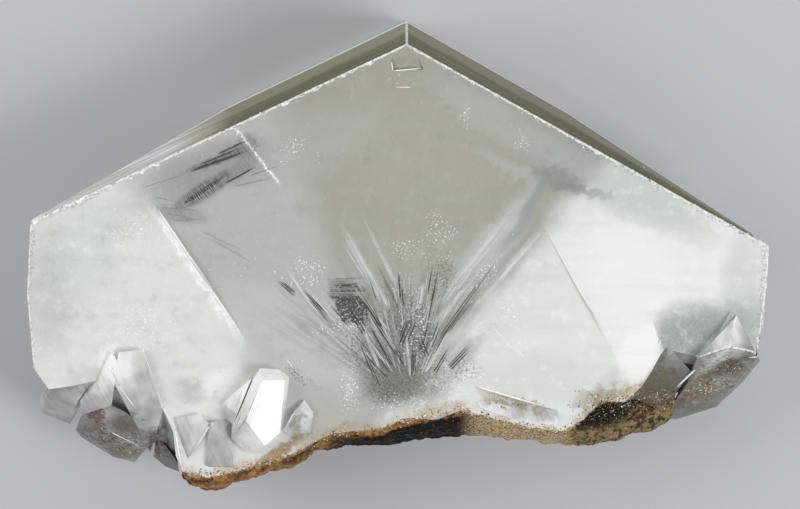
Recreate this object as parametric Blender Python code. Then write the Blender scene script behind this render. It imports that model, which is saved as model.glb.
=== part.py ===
"""A tabular calcite twin, with the small crystals grown on its foot, and the rind of iron-stained rock
that still clings along its broken base.

The twin lies on its back: its large front face looks up (+Z), its apex points to +Y, and the base is at -Y.
Points are given in millimetres, and MM turns them into Blender's metres.
"""

import random

import bmesh
import bpy
from mathutils import Vector

MM = 0.001

THICKNESS = 20.0
MIDDLE_HEIGHT = 12.0
WING_START = 22.0
WING_END = 46.0
WING_TIP_HEIGHT = 18.0
ROOF_FLARE = 0.4

# The front face's corners above the base, counter-clockwise from the apex.
APEX = (1.1, 26.5)
LEFT_SIDE = [(-45.9, 4.1), (-46.5, -5.2), (-45.9, -14.5)]
RIGHT_SIDE = [(46.2, -4.1), (46.4, 1.0)]

# The broken base from left to right: x, then y at the front face, at mid thickness and at the back face.
BASE = [
    (-44.0, -17.3, -18.6, -18.0),
    (-41.2, -16.9, -20.3, -19.2),
    (-38.2, -16.2, -22.2, -20.6),
    (-35.0, -17.0, -24.2, -22.2),
    (-31.3, -18.5, -26.3, -24.0),
    (-29.6, -19.9, -27.8, -25.6),
    (-28.4, -22.8, -28.8, -26.8),
    (-28.1, -25.9, -29.4, -27.5),
    (-27.3, -28.0, -30.0, -28.2),
    (-24.0, -28.8, -30.3, -29.0),
    (-20.0, -27.8, -29.3, -28.6),
    (-16.4, -26.5, -28.2, -27.0),
    (-13.2, -25.6, -27.2, -26.6),
    (-10.8, -24.3, -25.2, -25.4),
    (-8.4, -23.0, -24.7, -24.0),
    (-2.4, -22.4, -24.4, -23.2),
    (1.0, -21.0, -24.0, -23.6),
    (4.2, -21.2, -23.5, -22.4),
    (8.0, -19.9, -23.3, -22.9),
    (12.9, -21.2, -23.6, -23.8),
    (17.0, -22.3, -24.1, -23.2),
    (20.7, -22.7, -24.5, -22.6),
    (23.2, -21.2, -24.4, -22.0),
    (25.6, -18.8, -24.0, -21.4),
    (28.6, -18.9, -22.8, -20.4),
    (30.8, -16.8, -21.8, -19.5),
    (32.0, -14.8, -21.2, -19.0),
    (33.2, -12.4, -20.6, -18.0),
    (37.6, -13.3, -19.0, -17.0),
    (45.2, -13.2, -15.6, -15.0),
]

# Each small crystal by its corners and, last, the buried ones that root it in the twin.
CRYSTALS = {
    "blocky_end": [
        (-43.9, -17.4, 19.1), (-38.4, -16.4, 19.3), (-40.6, -19.4, 17.5), (-42.9, -19.3, 16.8),
        (-41.6, -21.7, 14.5), (-42.5, -24.5, 9.0), (-44.5, -23.5, 9.5), (-46.1, -22.8, 10.0),
        (-46.1, -20.5, 11.5), (-45.4, -19.2, 10.0), (-43.0, -15.0, 17.3), (-39.0, -18.0, 13.7),
    ],
    "striated_fan": [
        (-35.9, -12.4, 20.6), (-35.2, -13.6, 20.7), (-35.6, -16.2, 20.7), (-36.2, -19.6, 19.2),
        (-40.4, -21.7, 15.5), (-40.3, -19.3, 17.7), (-38.1, -17.0, 20.3), (-37.0, -15.0, 15.0),
        (-37.6, -19.0, 13.1),
    ],
    "downward_blade": [
        (-35.0, -12.3, 20.9), (-32.0, -12.0, 20.9), (-35.9, -16.0, 20.5), (-33.8, -20.7, 19.3),
        (-32.8, -23.0, 18.2), (-31.7, -26.6, 15.5), (-29.7, -20.0, 19.8), (-30.4, -17.7, 20.9),
        (-31.4, -14.8, 21.2), (-30.3, -22.4, 18.6), (-33.0, -14.0, 15.0), (-31.5, -24.0, 12.0),
    ],
    "rounded_lump": [
        (-40.7, -22.5, 13.0), (-38.4, -20.9, 15.8), (-36.4, -20.2, 16.8), (-34.7, -20.9, 17.2),
        (-33.3, -22.1, 16.8), (-32.6, -23.9, 15.6), (-32.1, -26.4, 13.5), (-34.2, -29.6, 9.0),
        (-37.0, -28.9, 9.0), (-37.9, -27.2, 11.0), (-38.7, -24.3, 13.0), (-41.0, -26.3, 9.0),
        (-41.7, -25.1, 10.0), (-36.0, -20.0, 10.5),
    ],
    "recess_lump": [
        (-31.6, -28.2, 11.5), (-30.0, -29.4, 12.0), (-28.2, -30.0, 12.5), (-29.5, -26.5, 14.2),
        (-31.0, -25.0, 13.0), (-28.5, -27.8, 14.6), (-29.0, -27.0, 10.0),
    ],
    "foot_plate": [
        (-28.1, -21.0, 20.3), (-25.0, -20.3, 20.7), (-23.8, -21.5, 21.0), (-24.4, -22.1, 21.1),
        (-26.2, -25.2, 20.6), (-27.4, -28.4, 18.9), (-27.0, -22.0, 14.0), (-24.0, -23.0, 14.0),
        (-26.0, -27.0, 14.0),
    ],
    "foot_pyramid": [
        (-23.8, -21.5, 20.6), (-21.0, -20.9, 20.4), (-22.5, -23.2, 21.5), (-24.3, -27.1, 20.3),
        (-20.9, -27.2, 20.2), (-22.4, -28.6, 18.8), (-23.0, -23.0, 15.0), (-22.0, -27.0, 15.0),
    ],
    "bright_crystal": [
        (-16.9, -15.4, 23.31), (-14.2, -15.6, 22.29), (-14.8, -22.3, 22.51), (-16.7, -23.8, 23.24),
        (-19.0, -20.4, 24.11), (-17.3, -14.3, 21.2), (-15.0, -14.4, 21.2), (-13.7, -15.4, 21.2),
        (-13.8, -17.2, 21.0), (-18.2, -15.7, 21.6), (-19.4, -18.6, 22.4), (-20.9, -21.8, 21.9),
        (-21.0, -23.3, 21.4), (-19.0, -25.5, 20.6), (-17.2, -25.2, 20.8), (-15.0, -23.4, 21.2),
        (-18.0, -18.0, 15.0), (-17.0, -23.0, 15.0), (-20.0, -21.0, 15.0),
    ],
    "leaning_plate": [
        (-22.1, -19.0, 20.6), (-19.9, -17.3, 21.5), (-18.4, -15.6, 21.4), (-19.2, -17.6, 22.0),
        (-20.2, -20.0, 22.2), (-20.7, -21.6, 21.6), (-21.9, -20.6, 20.7), (-19.0, -16.4, 19.0),
        (-20.5, -20.5, 19.0), (-21.2, -19.0, 19.2),
    ],
    "grey_pyramid": [
        (-14.5, -22.5, 20.4), (-13.1, -20.0, 20.8), (-11.8, -18.6, 20.4), (-10.7, -20.1, 20.6),
        (-11.0, -23.0, 20.2), (-12.3, -21.6, 21.4), (-12.7, -24.6, 19.6), (-12.5, -21.0, 15.0),
    ],
    "low_terrace": [
        (9.4, -16.8, 19.9), (20.2, -20.0, 19.9), (11.8, -18.0, 20.8), (15.5, -19.3, 21.0),
        (19.6, -20.7, 20.8), (9.8, -20.2, 19.7), (14.0, -21.4, 19.8), (20.4, -22.5, 19.7),
        (12.0, -19.0, 15.0), (19.0, -21.0, 15.0),
    ],
    "right_blade": [
        (33.8, -12.2, 19.0), (34.7, -12.6, 19.6), (35.9, -14.0, 19.2), (37.1, -15.4, 18.6),
        (36.3, -16.7, 18.0), (35.0, -18.8, 17.0), (33.4, -20.4, 15.5), (29.8, -21.2, 15.0),
        (29.4, -19.6, 17.0), (30.6, -17.2, 18.2), (31.9, -15.0, 18.8), (33.0, -15.0, 12.5),
        (32.5, -19.5, 11.0), (36.0, -17.0, 12.5),
    ],
    "right_rim": [
        (37.7, -13.2, 19.9), (41.2, -11.7, 22.2), (43.3, -12.1, 21.4), (45.3, -13.0, 19.9),
        (46.0, -14.7, 15.5), (44.6, -16.6, 14.6), (44.2, -18.1, 12.5), (43.1, -19.2, 12.0),
        (42.0, -19.8, 12.5), (41.1, -22.0, 10.0), (38.1, -22.2, 11.0), (36.0, -23.9, 9.0),
        (36.5, -17.4, 17.4), (37.1, -15.3, 18.8), (34.9, -21.4, 13.2), (34.4, -23.6, 9.6),
        (41.2, -11.0, 19.5), (40.0, -12.0, 14.5), (37.5, -18.0, 10.5),
    ],
    "corner_pyramid": [
        (42.5, -7.8, 20.1), (37.6, -13.3, 19.9), (41.2, -11.3, 22.4), (45.1, -12.6, 19.9),
        (38.8, -12.4, 17.0), (44.4, -12.3, 17.0), (42.2, -9.5, 17.5),
    ],
}

# Shallow cuts in the front face: two growth ledges, each deepest in the middle of its line, the notch under
# the apex and the hollow at lower right.
CUTS = {
    "left_ledge": [
        (-30.5, 6.3, 20.05), (-24.7, -2.2, 19.35), (-19.2, -10.9, 20.05), (-17.0, 12.5, 20.05),
        (-6.0, -6.0, 20.05), (-30.5, 6.3, 21.0), (-19.2, -10.9, 21.0), (-17.0, 12.5, 21.0),
        (-6.0, -6.0, 21.0),
    ],
    "right_step": [
        (18.3, 3.4, 20.05), (22.4, -4.5, 19.55), (26.9, -12.2, 20.05), (8.5, -2.0, 20.05),
        (16.5, -15.5, 20.05), (18.3, 3.4, 21.0), (26.9, -12.2, 21.0), (8.5, -2.0, 21.0),
        (16.5, -15.5, 21.0),
    ],
    "apex_notch": [
        (-0.7, 23.0, 19.5), (3.2, 23.3, 19.55), (-0.8, 24.6, 19.9), (2.4, 25.0, 20.05),
        (-0.7, 23.0, 21.0), (3.2, 23.3, 21.0), (-0.8, 24.6, 21.0), (2.4, 25.0, 21.0),
    ],
    "right_hollow": [
        (31.8, -8.4, 20.02), (41.8, -7.0, 20.02), (33.3, -12.3, 18.9), (37.7, -13.4, 18.3),
        (33.8, -15.0, 18.4), (37.8, -15.0, 18.1), (31.8, -8.4, 23.0), (41.8, -7.0, 23.0),
        (33.3, -12.3, 23.0), (37.8, -15.0, 23.0), (33.8, -15.0, 23.0),
    ],
}

# The rind from its left end to its right end: x, its top line's y and z, and the y of its outer edge.
RIND = [
    (-27.4, -28.3, 18.4, -30.6),
    (-26.6, -28.7, 18.9, -31.7),
    (-24.8, -29.1, 19.0, -31.9),
    (-22.2, -28.9, 19.1, -31.9),
    (-20.2, -28.3, 19.2, -30.8),
    (-16.7, -27.1, 19.2, -29.6),
    (-13.2, -26.1, 19.2, -29.0),
    (-11.0, -24.9, 19.2, -26.9),
    (-8.1, -23.4, 19.3, -26.1),
    (-2.4, -22.9, 19.2, -26.1),
    (2.4, -21.6, 19.4, -25.6),
    (5.4, -21.2, 19.3, -25.2),
    (9.3, -20.9, 19.2, -25.0),
    (13.1, -21.8, 18.8, -25.2),
    (17.0, -22.8, 18.6, -25.7),
    (21.0, -23.2, 18.8, -26.1),
    (23.4, -21.4, 19.4, -26.3),
    (25.6, -19.5, 19.5, -25.9),
    (28.3, -19.7, 19.2, -25.1),
    (30.0, -20.6, 17.5, -24.4),
    (31.7, -21.6, 15.5, -24.4),
    (33.2, -22.2, 14.5, -24.8),
    (35.0, -21.8, 14.0, -23.8),
]
RIND_STEP = 1.25
RIND_FOOT = 1.4
RIND_OVERLAP = 1.5
RIND_GAP = 0.3
RIND_ROUGHNESS = 0.3
RIND_SEED = 11

# The rind's cross-section, in shares of its height: the three buried points, then the three bulging ones.
RIND_INNER_SHARES = (0.1, 0.5, 0.88)
RIND_SHOULDER_SHARE = 0.84
RIND_EDGE_SHARE = 0.6
RIND_BELLY_SHARE = 0.3
RIND_SHOULDER_BULGE = 0.4
RIND_BELLY_INSET = 0.3
RIND_FOOT_WIDTH = 1.3

# How thick the rind is at its ends, and how much it gains with each section from there.
RIND_END_SWELL = 0.6
RIND_SWELL_STEP = 0.2

# The ways in which a copy of the twin is moved by RIND_GAP to cut the rind clear of it.
CLEARANCE_DIRECTIONS = [(0, -1, 0), (1, -1, 0), (-1, -1, 0), (0, -1, 1), (0, -1, -1)]

# Colour, roughness, transmission and IOR.
MILKY_CALCITE = ((0.82, 0.83, 0.79), 0.12, 0.4, 1.6)
IRON_STAINED_ROCK = ((0.30, 0.17, 0.06), 0.85, 0.0, 1.5)


def clear_scene():
    for item in list(bpy.data.objects):
        bpy.data.objects.remove(item, do_unlink=True)


def between(rows, x, column):
    """The value of a column of rows at x, on the straight line between the two rows on either side."""
    for left, right in zip(rows, rows[1:]):
        if x <= right[0]:
            share = max(0.0, (x - left[0]) / (right[0] - left[0]))
            return left[column] + (right[column] - left[column]) * share
    return rows[-1][column]


def as_object(name, shape):
    """A mesh object of the bmesh, made of triangles and scaled from millimetres to metres."""
    bmesh.ops.triangulate(shape, faces=shape.faces[:])
    bmesh.ops.recalc_face_normals(shape, faces=shape.faces[:])
    bmesh.ops.scale(shape, verts=shape.verts[:], vec=(MM, MM, MM))
    mesh = bpy.data.meshes.new(name)
    shape.to_mesh(mesh)
    shape.free()
    item = bpy.data.objects.new(name, mesh)
    bpy.context.collection.objects.link(item)
    return item


def loft(rings):
    """A closed bmesh through rings of equal length, each a closed loop of points."""
    shape = bmesh.new()
    loops = [[shape.verts.new(point) for point in ring] for ring in rings]
    shape.faces.new(reversed(loops[0]))
    shape.faces.new(loops[-1])
    count = len(rings[0])
    for lower, upper in zip(loops, loops[1:]):
        for i in range(count):
            j = (i + 1) % count
            shape.faces.new((lower[i], lower[j], upper[j], upper[i]))
    return shape


def hull(name, corners):
    """The smallest closed solid with flat faces that holds all the corners."""
    shape = bmesh.new()
    for corner in corners:
        shape.verts.new(corner)
    made = bmesh.ops.convex_hull(shape, input=shape.verts[:])
    inside = [part for part in made["geom_interior"] if isinstance(part, bmesh.types.BMVert)]
    bmesh.ops.delete(shape, geom=inside, context="VERTS")
    return as_object(name, shape)


def combine(target, tool, operation):
    """Joins the tool to the target, or cuts it away, and removes the tool."""
    tool.hide_render = True
    tool.display_type = "WIRE"
    step = target.modifiers.new(operation.lower(), "BOOLEAN")
    step.operation = operation
    step.solver = "EXACT"
    step.object = tool
    graph = bpy.context.evaluated_depsgraph_get()
    mesh = bpy.data.meshes.new_from_object(target.evaluated_get(graph))
    target.modifiers.clear()
    target.data = mesh
    bpy.data.objects.remove(tool, do_unlink=True)


def plate_ring(height, column, flare):
    """The twin's outline at one height, counter-clockwise seen from +Z, with the apex pushed out by flare."""
    ring = [(APEX[0], APEX[1] + flare)] + LEFT_SIDE
    ring += [(row[0], row[column]) for row in BASE] + RIGHT_SIDE
    return [(x, y, height) for x, y in ring]


def slope_wing(shape, side):
    """Cuts the back of one wing to a slanting face that nearly meets the front face at the wing's tip."""
    rise = Vector((WING_END - WING_START, 0.0, WING_TIP_HEIGHT)).normalized()
    outward = Vector((side * rise.z, 0.0, -rise.x))
    bmesh.ops.bisect_plane(
        shape,
        geom=shape.verts[:] + shape.edges[:] + shape.faces[:],
        plane_co=(side * WING_START, 0.0, 0.0),
        plane_no=outward,
        clear_outer=True,
    )
    rim = [edge for edge in shape.edges if edge.is_boundary]
    bmesh.ops.holes_fill(shape, edges=rim, sides=0)


def make_twin():
    """The plate with sloping wings, then its ledges cut in, then the small crystals joined on."""
    rings = [
        plate_ring(0.0, 3, ROOF_FLARE),
        plate_ring(MIDDLE_HEIGHT, 2, ROOF_FLARE / 2),
        plate_ring(THICKNESS, 1, 0.0),
    ]
    shape = loft(rings)
    for side in (-1, 1):
        slope_wing(shape, side)
    twin = as_object("calcite_twin", shape)
    for name, corners in CUTS.items():
        combine(twin, hull(name, corners), "DIFFERENCE")
    for name, corners in CRYSTALS.items():
        combine(twin, hull(name, corners), "UNION")
    return twin


def base_y(x, z):
    """Where the twin's broken base lies at x and height z."""
    back, middle, front = (between(BASE, x, column) for column in (3, 2, 1))
    if z < MIDDLE_HEIGHT:
        return back + (middle - back) * z / MIDDLE_HEIGHT
    return middle + (front - middle) * (z - MIDDLE_HEIGHT) / (THICKNESS - MIDDLE_HEIGHT)


def rind_section(x, dice, swell):
    """One lumpy cross-section of the rind at x: three points inside the twin, then five on its outside."""
    top_y, top, edge = (between(RIND, x, column) for column in (1, 2, 3))
    wing_slope = WING_TIP_HEIGHT / (WING_END - WING_START)
    bottom = RIND_FOOT + max(0.0, abs(x) - WING_START) * wing_slope
    reach = top - bottom
    inner_heights = [bottom + share * reach for share in RIND_INNER_SHARES]
    points = [(x, base_y(x, z) + RIND_OVERLAP, z) for z in inner_heights]
    outside = [
        (top_y, top),
        ((top_y + edge) / 2 - RIND_SHOULDER_BULGE, bottom + RIND_SHOULDER_SHARE * reach),
        (edge, bottom + RIND_EDGE_SHARE * reach),
        (edge + RIND_BELLY_INSET, bottom + RIND_BELLY_SHARE * reach),
        (base_y(x, bottom) - RIND_FOOT_WIDTH, bottom),
    ]
    for y, z in outside:
        ground = base_y(x, z)
        y += dice.uniform(-RIND_ROUGHNESS, RIND_ROUGHNESS)
        lift = dice.uniform(-RIND_ROUGHNESS, RIND_ROUGHNESS)
        points.append((x + lift / 2, ground + (y - ground) * swell, z + lift / 2))
    return points


def make_rind(twin):
    """A crust along the whole base, cut back so that it stands clear of the twin on every side."""
    dice = random.Random(RIND_SEED)
    start = RIND[0][0]
    end = RIND[-1][0]
    count = round((end - start) / RIND_STEP)
    sections = []
    for i in range(count + 1):
        swell = min(1.0, RIND_END_SWELL + RIND_SWELL_STEP * min(i, count - i))
        sections.append(rind_section(start + (end - start) * i / count, dice, swell))
    rind = as_object("matrix_rind", loft(sections))
    for direction in CLEARANCE_DIRECTIONS:
        cutter = bpy.data.objects.new("clearance", twin.data.copy())
        bpy.context.collection.objects.link(cutter)
        cutter.location = Vector(direction) * RIND_GAP * MM
        bpy.context.view_layer.update()
        combine(rind, cutter, "DIFFERENCE")
    return rind


def keep_largest_body(item):
    """Drops the crumbs that a cut leaves beside the main body."""
    shape = bmesh.new()
    shape.from_mesh(item.data)
    waiting = set(shape.verts)
    bodies = []
    while waiting:
        body = []
        reached = [waiting.pop()]
        while reached:
            vert = reached.pop()
            body.append(vert)
            for edge in vert.link_edges:
                other = edge.other_vert(vert)
                if other in waiting:
                    waiting.remove(other)
                    reached.append(other)
        bodies.append(body)
    bodies.sort(key=len)
    crumbs = [vert for body in bodies[:-1] for vert in body]
    bmesh.ops.delete(shape, geom=crumbs, context="VERTS")
    shape.to_mesh(item.data)
    shape.free()


def centre_on_origin(items):
    """Moves every mesh so that the middle of the box round them all, at its bottom, is the origin."""
    points = [vert.co for item in items for vert in item.data.vertices]
    low = Vector([min(point[i] for point in points) for i in range(3)])
    high = Vector([max(point[i] for point in points) for i in range(3)])
    shift = Vector((-(low.x + high.x) / 2, -(low.y + high.y) / 2, -low.z))
    for item in items:
        for vert in item.data.vertices:
            vert.co += shift
    print("moved by", [round(value / MM, 3) for value in shift], "mm")


def paint(item, name, finish):
    """Gives the object a new material of the finish's colour, roughness, transmission and IOR."""
    colour, roughness, transmission, ior = finish
    made = bpy.data.materials.new(name)
    made.use_nodes = True
    shader = made.node_tree.nodes["Principled BSDF"]
    shader.inputs["Base Color"].default_value = (*colour, 1.0)
    shader.inputs["Roughness"].default_value = roughness
    shader.inputs["Transmission Weight"].default_value = transmission
    shader.inputs["IOR"].default_value = ior
    item.data.materials.clear()
    item.data.materials.append(made)


def main():
    clear_scene()
    twin = make_twin()
    rind = make_rind(twin)
    keep_largest_body(rind)
    centre_on_origin([twin, rind])
    paint(twin, "milky_calcite", MILKY_CALCITE)
    paint(rind, "iron_stained_rock", IRON_STAINED_ROCK)


main()
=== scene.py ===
# %% [markdown]
# # A calcite twin, lying on its back
# This lesson dresses a faceted model of a calcite specimen. The real thing is one tabular twin crystal: a
# large flat front face under a low roof, two milky wings, and a greyish clear middle in which a fan of
# fractures spreads from the foot. Small crystals grow along the lower edge, and a rind of iron-stained rock
# still clings to the broken base. The faceted model gives every size. Here the twin gets its chipped edges,
# its inner fractures and its milky and clear calcite, and the rind gets its lumps, pits and grains.

# %% Load the frame
import math
import random

import bpy
from mathutils import Euler, Matrix, Vector


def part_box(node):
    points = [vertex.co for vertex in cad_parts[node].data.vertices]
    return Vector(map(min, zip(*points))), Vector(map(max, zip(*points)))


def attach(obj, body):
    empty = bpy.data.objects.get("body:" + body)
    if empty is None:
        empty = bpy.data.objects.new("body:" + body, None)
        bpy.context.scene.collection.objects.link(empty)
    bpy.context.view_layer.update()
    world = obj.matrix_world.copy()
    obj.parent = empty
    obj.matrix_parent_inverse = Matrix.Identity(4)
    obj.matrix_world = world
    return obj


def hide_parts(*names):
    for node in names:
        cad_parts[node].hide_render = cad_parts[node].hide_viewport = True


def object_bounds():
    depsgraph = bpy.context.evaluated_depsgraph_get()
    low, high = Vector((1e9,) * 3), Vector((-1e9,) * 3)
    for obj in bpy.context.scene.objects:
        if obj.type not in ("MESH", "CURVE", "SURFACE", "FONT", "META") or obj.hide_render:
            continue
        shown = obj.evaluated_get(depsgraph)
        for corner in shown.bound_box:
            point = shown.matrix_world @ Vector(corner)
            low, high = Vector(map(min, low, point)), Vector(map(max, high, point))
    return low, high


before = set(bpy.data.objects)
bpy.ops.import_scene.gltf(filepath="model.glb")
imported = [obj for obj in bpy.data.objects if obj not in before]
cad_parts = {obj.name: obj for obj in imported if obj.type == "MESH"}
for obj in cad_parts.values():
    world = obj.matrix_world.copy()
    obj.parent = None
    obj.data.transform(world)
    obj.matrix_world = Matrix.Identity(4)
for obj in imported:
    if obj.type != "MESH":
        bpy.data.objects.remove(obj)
cad_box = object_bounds()
size = [round(1000 * (cad_box[1][i] - cad_box[0][i]), 1) for i in range(3)]
print("the faceted model measures", size, "mm")

# %% [markdown]
# ## Millimetres on the crystal
# The places below were measured on the front face, in millimetres. X runs to the right, Y towards the apex
# and Z out of the front face. The faceted model is centred on its own box, so its apex and its left side say
# how far the two frames lie apart. One function turns a measured place into Blender's metres.

# %% Places on the crystal
MM = 0.001
APEX_AT_BACK = 26.9
LEFT_SIDE = -46.5
FACE_HEIGHT = 20.0

twin_low, twin_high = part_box("calcite_twin")
SHIFT = Vector((twin_low.x / MM - LEFT_SIDE, twin_high.y / MM - APEX_AT_BACK, 0.0))


def at(x, y, z=FACE_HEIGHT):
    """A place measured on the crystal in millimetres, as a place in the scene in metres."""
    return (Vector((x, y, z)) + SHIFT) * MM


print("measured places are shifted by", [round(value, 2) for value in SHIFT], "mm")

# %% [markdown]
# ## Camera, light and floor
# The specimen lies on a plain pale floor, and the camera looks down on it, tipped 11 degrees towards the
# apex, so that the roof shows as a narrow band behind the front face. A long lens keeps the outline as flat
# as it is in a close-up taken from half a metre away.

# %% Camera
CAMERA_TIP = math.radians(11.0)
CAMERA_DISTANCE = 0.42
CAMERA_LENS = 151.2
CAMERA_AIM = at(0.25, 0.0)

camera_data = bpy.data.cameras.new("camera")
camera = bpy.data.objects.new("camera", camera_data)
bpy.context.scene.collection.objects.link(camera)
camera_data.lens = CAMERA_LENS
camera_data.clip_start = 0.01
back_from_aim = Vector((0.0, math.sin(CAMERA_TIP), math.cos(CAMERA_TIP)))
camera.location = CAMERA_AIM + CAMERA_DISTANCE * back_from_aim
camera.rotation_euler = (-CAMERA_TIP, 0.0, 0.0)
bpy.context.scene.camera = camera
print("camera at", [round(value, 3) for value in camera.location])

# %% [markdown]
# Soft boxes are area lights. The right-hand one stands just where the brightest small facet mirrors it to
# the camera. None stands behind the camera, where the front face would mirror it and lose its inner depth.

# %% Lights
def soft_box(name, direction, distance, size, watts, colour=(1.0, 1.0, 1.0)):
    """A square area light in that direction from the middle of the front face, turned towards it."""
    data = bpy.data.lights.new(name, "AREA")
    data.shape = "SQUARE"
    data.size = size
    data.energy = watts
    data.color = colour
    light = bpy.data.objects.new(name, data)
    bpy.context.scene.collection.objects.link(light)
    away = Vector(direction).normalized()
    light.location = at(0.0, 0.0) + distance * away
    light.rotation_euler = away.to_track_quat("Z", "Y").to_euler()
    print(name, "at", [round(value, 2) for value in light.location])


soft_box("right_box", (0.65, -0.19, 0.73), 0.50, 0.22, 1.3)
soft_box("left_box", (-0.80, 0.25, 0.55), 0.55, 0.35, 1.3)
soft_box("apex_box", (0.15, 0.90, 0.50), 0.60, 0.40, 0.5)

world = bpy.data.worlds.new("room")
bpy.context.scene.world = world
world.use_nodes = True
world.node_tree.nodes["Background"].inputs["Color"].default_value = (0.93, 0.96, 1.0, 1.0)
world.node_tree.nodes["Background"].inputs["Strength"].default_value = 0.40
bpy.context.scene.view_settings.view_transform = "Standard"

# %% [markdown]
# ## A way to write finishes
# A finish is a material. Its nodes are written here as sums: a wire stands for a node's output, and Python's
# own operators add Math nodes to it. Every other node comes from one method, which sets the node's settings
# first and then its sockets.

# %% Wires and finishes
class Wire:
    """An output of a node. Sums with it add Math nodes to its finish."""

    def __init__(self, finish, socket):
        self.finish = finish
        self.socket = socket

    def __add__(self, other):
        return self.finish.math("ADD", self, other)

    def __sub__(self, other):
        return self.finish.math("SUBTRACT", self, other)

    def __rsub__(self, other):
        return self.finish.math("SUBTRACT", other, self)

    def __mul__(self, other):
        return self.finish.math("MULTIPLY", self, other)

    def __truediv__(self, other):
        return self.finish.math("DIVIDE", self, other)

    def __pow__(self, other):
        return self.finish.math("POWER", self, other)

    def __abs__(self):
        return self.finish.math("ABSOLUTE", self)

    __radd__ = __add__
    __rmul__ = __mul__


class Finish:
    """A material, and the ways to add nodes to it."""

    def __init__(self, name):
        self.material = bpy.data.materials.new(name)
        self.material.use_nodes = True
        self.tree = self.material.node_tree
        self.tree.nodes.clear()
        place = self.node("ShaderNodeTexCoord", {}, {}, "Object")
        settings = {"vector_type": "POINT"}
        sockets = {"Vector": place, "Scale": (1 / MM, 1 / MM, 1 / MM), "Location": -SHIFT}
        self.place = self.node("ShaderNodeMapping", settings, sockets)
        self.x, self.y, self.z = self.split(self.place)

    def feed(self, socket, value):
        """Links a wire to the socket, or sets a plain value on it."""
        if isinstance(value, Wire):
            self.tree.links.new(value.socket, socket)
        elif socket.type == "RGBA":
            socket.default_value = (*value, 1.0)
        else:
            socket.default_value = value

    def node(self, kind, settings, sockets, output=0):
        """Adds a node, sets its settings, then feeds its sockets, and returns one of its outputs."""
        made = self.tree.nodes.new(kind)
        for name, value in settings.items():
            if name == "points":
                self.bend_curve(made.mapping, value)
            else:
                setattr(made, name, value)
        for name, value in sockets.items():
            self.feed(made.inputs[name], value)
        return Wire(self, made.outputs[output])

    def bend_curve(self, mapping, points):
        """Puts a curve through the points."""
        curve = mapping.curves[0]
        curve.points[0].location = points[0]
        curve.points[1].location = points[-1]
        for x, y in points[1:-1]:
            curve.points.new(x, y)
        mapping.update()

    def math(self, operation, *values):
        return self.node("ShaderNodeMath", {"operation": operation}, dict(enumerate(values)))

    def largest(self, first, *others):
        """The largest of several masks."""
        for other in others:
            first = self.math("MAXIMUM", first, other)
        return first

    def split(self, vector):
        """The three parts of a vector."""
        parts = self.node("ShaderNodeSeparateXYZ", {}, {"Vector": vector})
        return [Wire(self, output) for output in parts.socket.node.outputs]

    def join(self, x, y, z):
        return self.node("ShaderNodeCombineXYZ", {}, {"X": x, "Y": y, "Z": z})

    def noise(self, scale, detail=2.0, roughness=0.5, place=None):
        """Soft noise from 0 to 1, with that many waves to a millimetre."""
        sockets = {"Vector": place or self.place, "Scale": scale, "Detail": detail, "Roughness": roughness}
        return self.node("ShaderNodeTexNoise", {}, sockets)

    def rise(self, value, low, high):
        """0 at low, 1 at high and soft between. It falls where low is the larger."""
        settings = {"interpolation_type": "SMOOTHSTEP"}
        return self.node("ShaderNodeMapRange", settings, {"Value": value, "From Min": low, "From Max": high})

    def mix(self, factor, first, second):
        """The first colour where the factor is 0, and the second where it is 1."""
        settings = {"data_type": "RGBA"}
        sockets = {0: factor, 6: first, 7: second}
        return self.node("ShaderNodeMix", settings, sockets, 2)

    def blob(self, centre, radii, turn=0.0, soft=0.5, x=None, y=None):
        """A soft-edged ellipse on the front face, turned by so many degrees."""
        dx = (x or self.x) - centre[0]
        dy = (y or self.y) - centre[1]
        cos, sin = math.cos(math.radians(turn)), math.sin(math.radians(turn))
        along = (dx * cos + dy * sin) / radii[0]
        across = (dy * cos - dx * sin) / radii[1]
        return self.rise(along * along + across * across, 1 + soft, 1 - soft)

    def strip(self, start, end, half_width, soft, x=None, y=None):
        """A soft-edged strip on the front face from start to end."""
        length = math.dist(start, end)
        cos, sin = (end[0] - start[0]) / length, (end[1] - start[1]) / length
        dx = (x or self.x) - start[0]
        dy = (y or self.y) - start[1]
        along = dx * cos + dy * sin
        across = abs(dy * cos - dx * sin)
        side = self.rise(across, half_width + soft, max(0.0, half_width - soft))
        ends = self.rise(abs(along - length / 2), length / 2 + soft, length / 2 - soft)
        return side * ends

    def beside(self, start, end, x=None, y=None):
        """How far a point lies to the left of the line from start to end, in millimetres."""
        length = math.dist(start, end)
        cos, sin = (end[0] - start[0]) / length, (end[1] - start[1]) / length
        return ((y or self.y) - start[1]) * cos - ((x or self.x) - start[0]) * sin

    def blobs(self, rows, soft, x=None, y=None):
        """The largest of several blobs, each a row of its centre, its radii and, if it has one, its turn."""
        return self.largest(*[self.blob(*row, soft=soft, x=x, y=y) for row in rows])

    def bump(self, height, distance):
        """A normal bent as if the surface rose by so many metres where the height is 1."""
        return self.node("ShaderNodeBump", {}, {"Strength": 1.0, "Distance": distance, "Height": height})

    def principled(self, sockets):
        return self.node("ShaderNodeBsdfPrincipled", {}, sockets)

    def output(self, surface, volume=None):
        """Ends the finish with its surface and, for clear calcite, what its inside absorbs."""
        end = self.tree.nodes.new("ShaderNodeOutputMaterial")
        self.feed(end.inputs["Surface"], surface)
        if volume:
            self.feed(end.inputs["Volume"], volume)
        return self.material


# %% [markdown]
# ## The floor
# A plain pale sheet with only a breath of tone in it, a little below the lowest facet.

# %% Floor
FLOOR_DROP = 0.05 * MM
FLOOR_SIZE = 3.0

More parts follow.
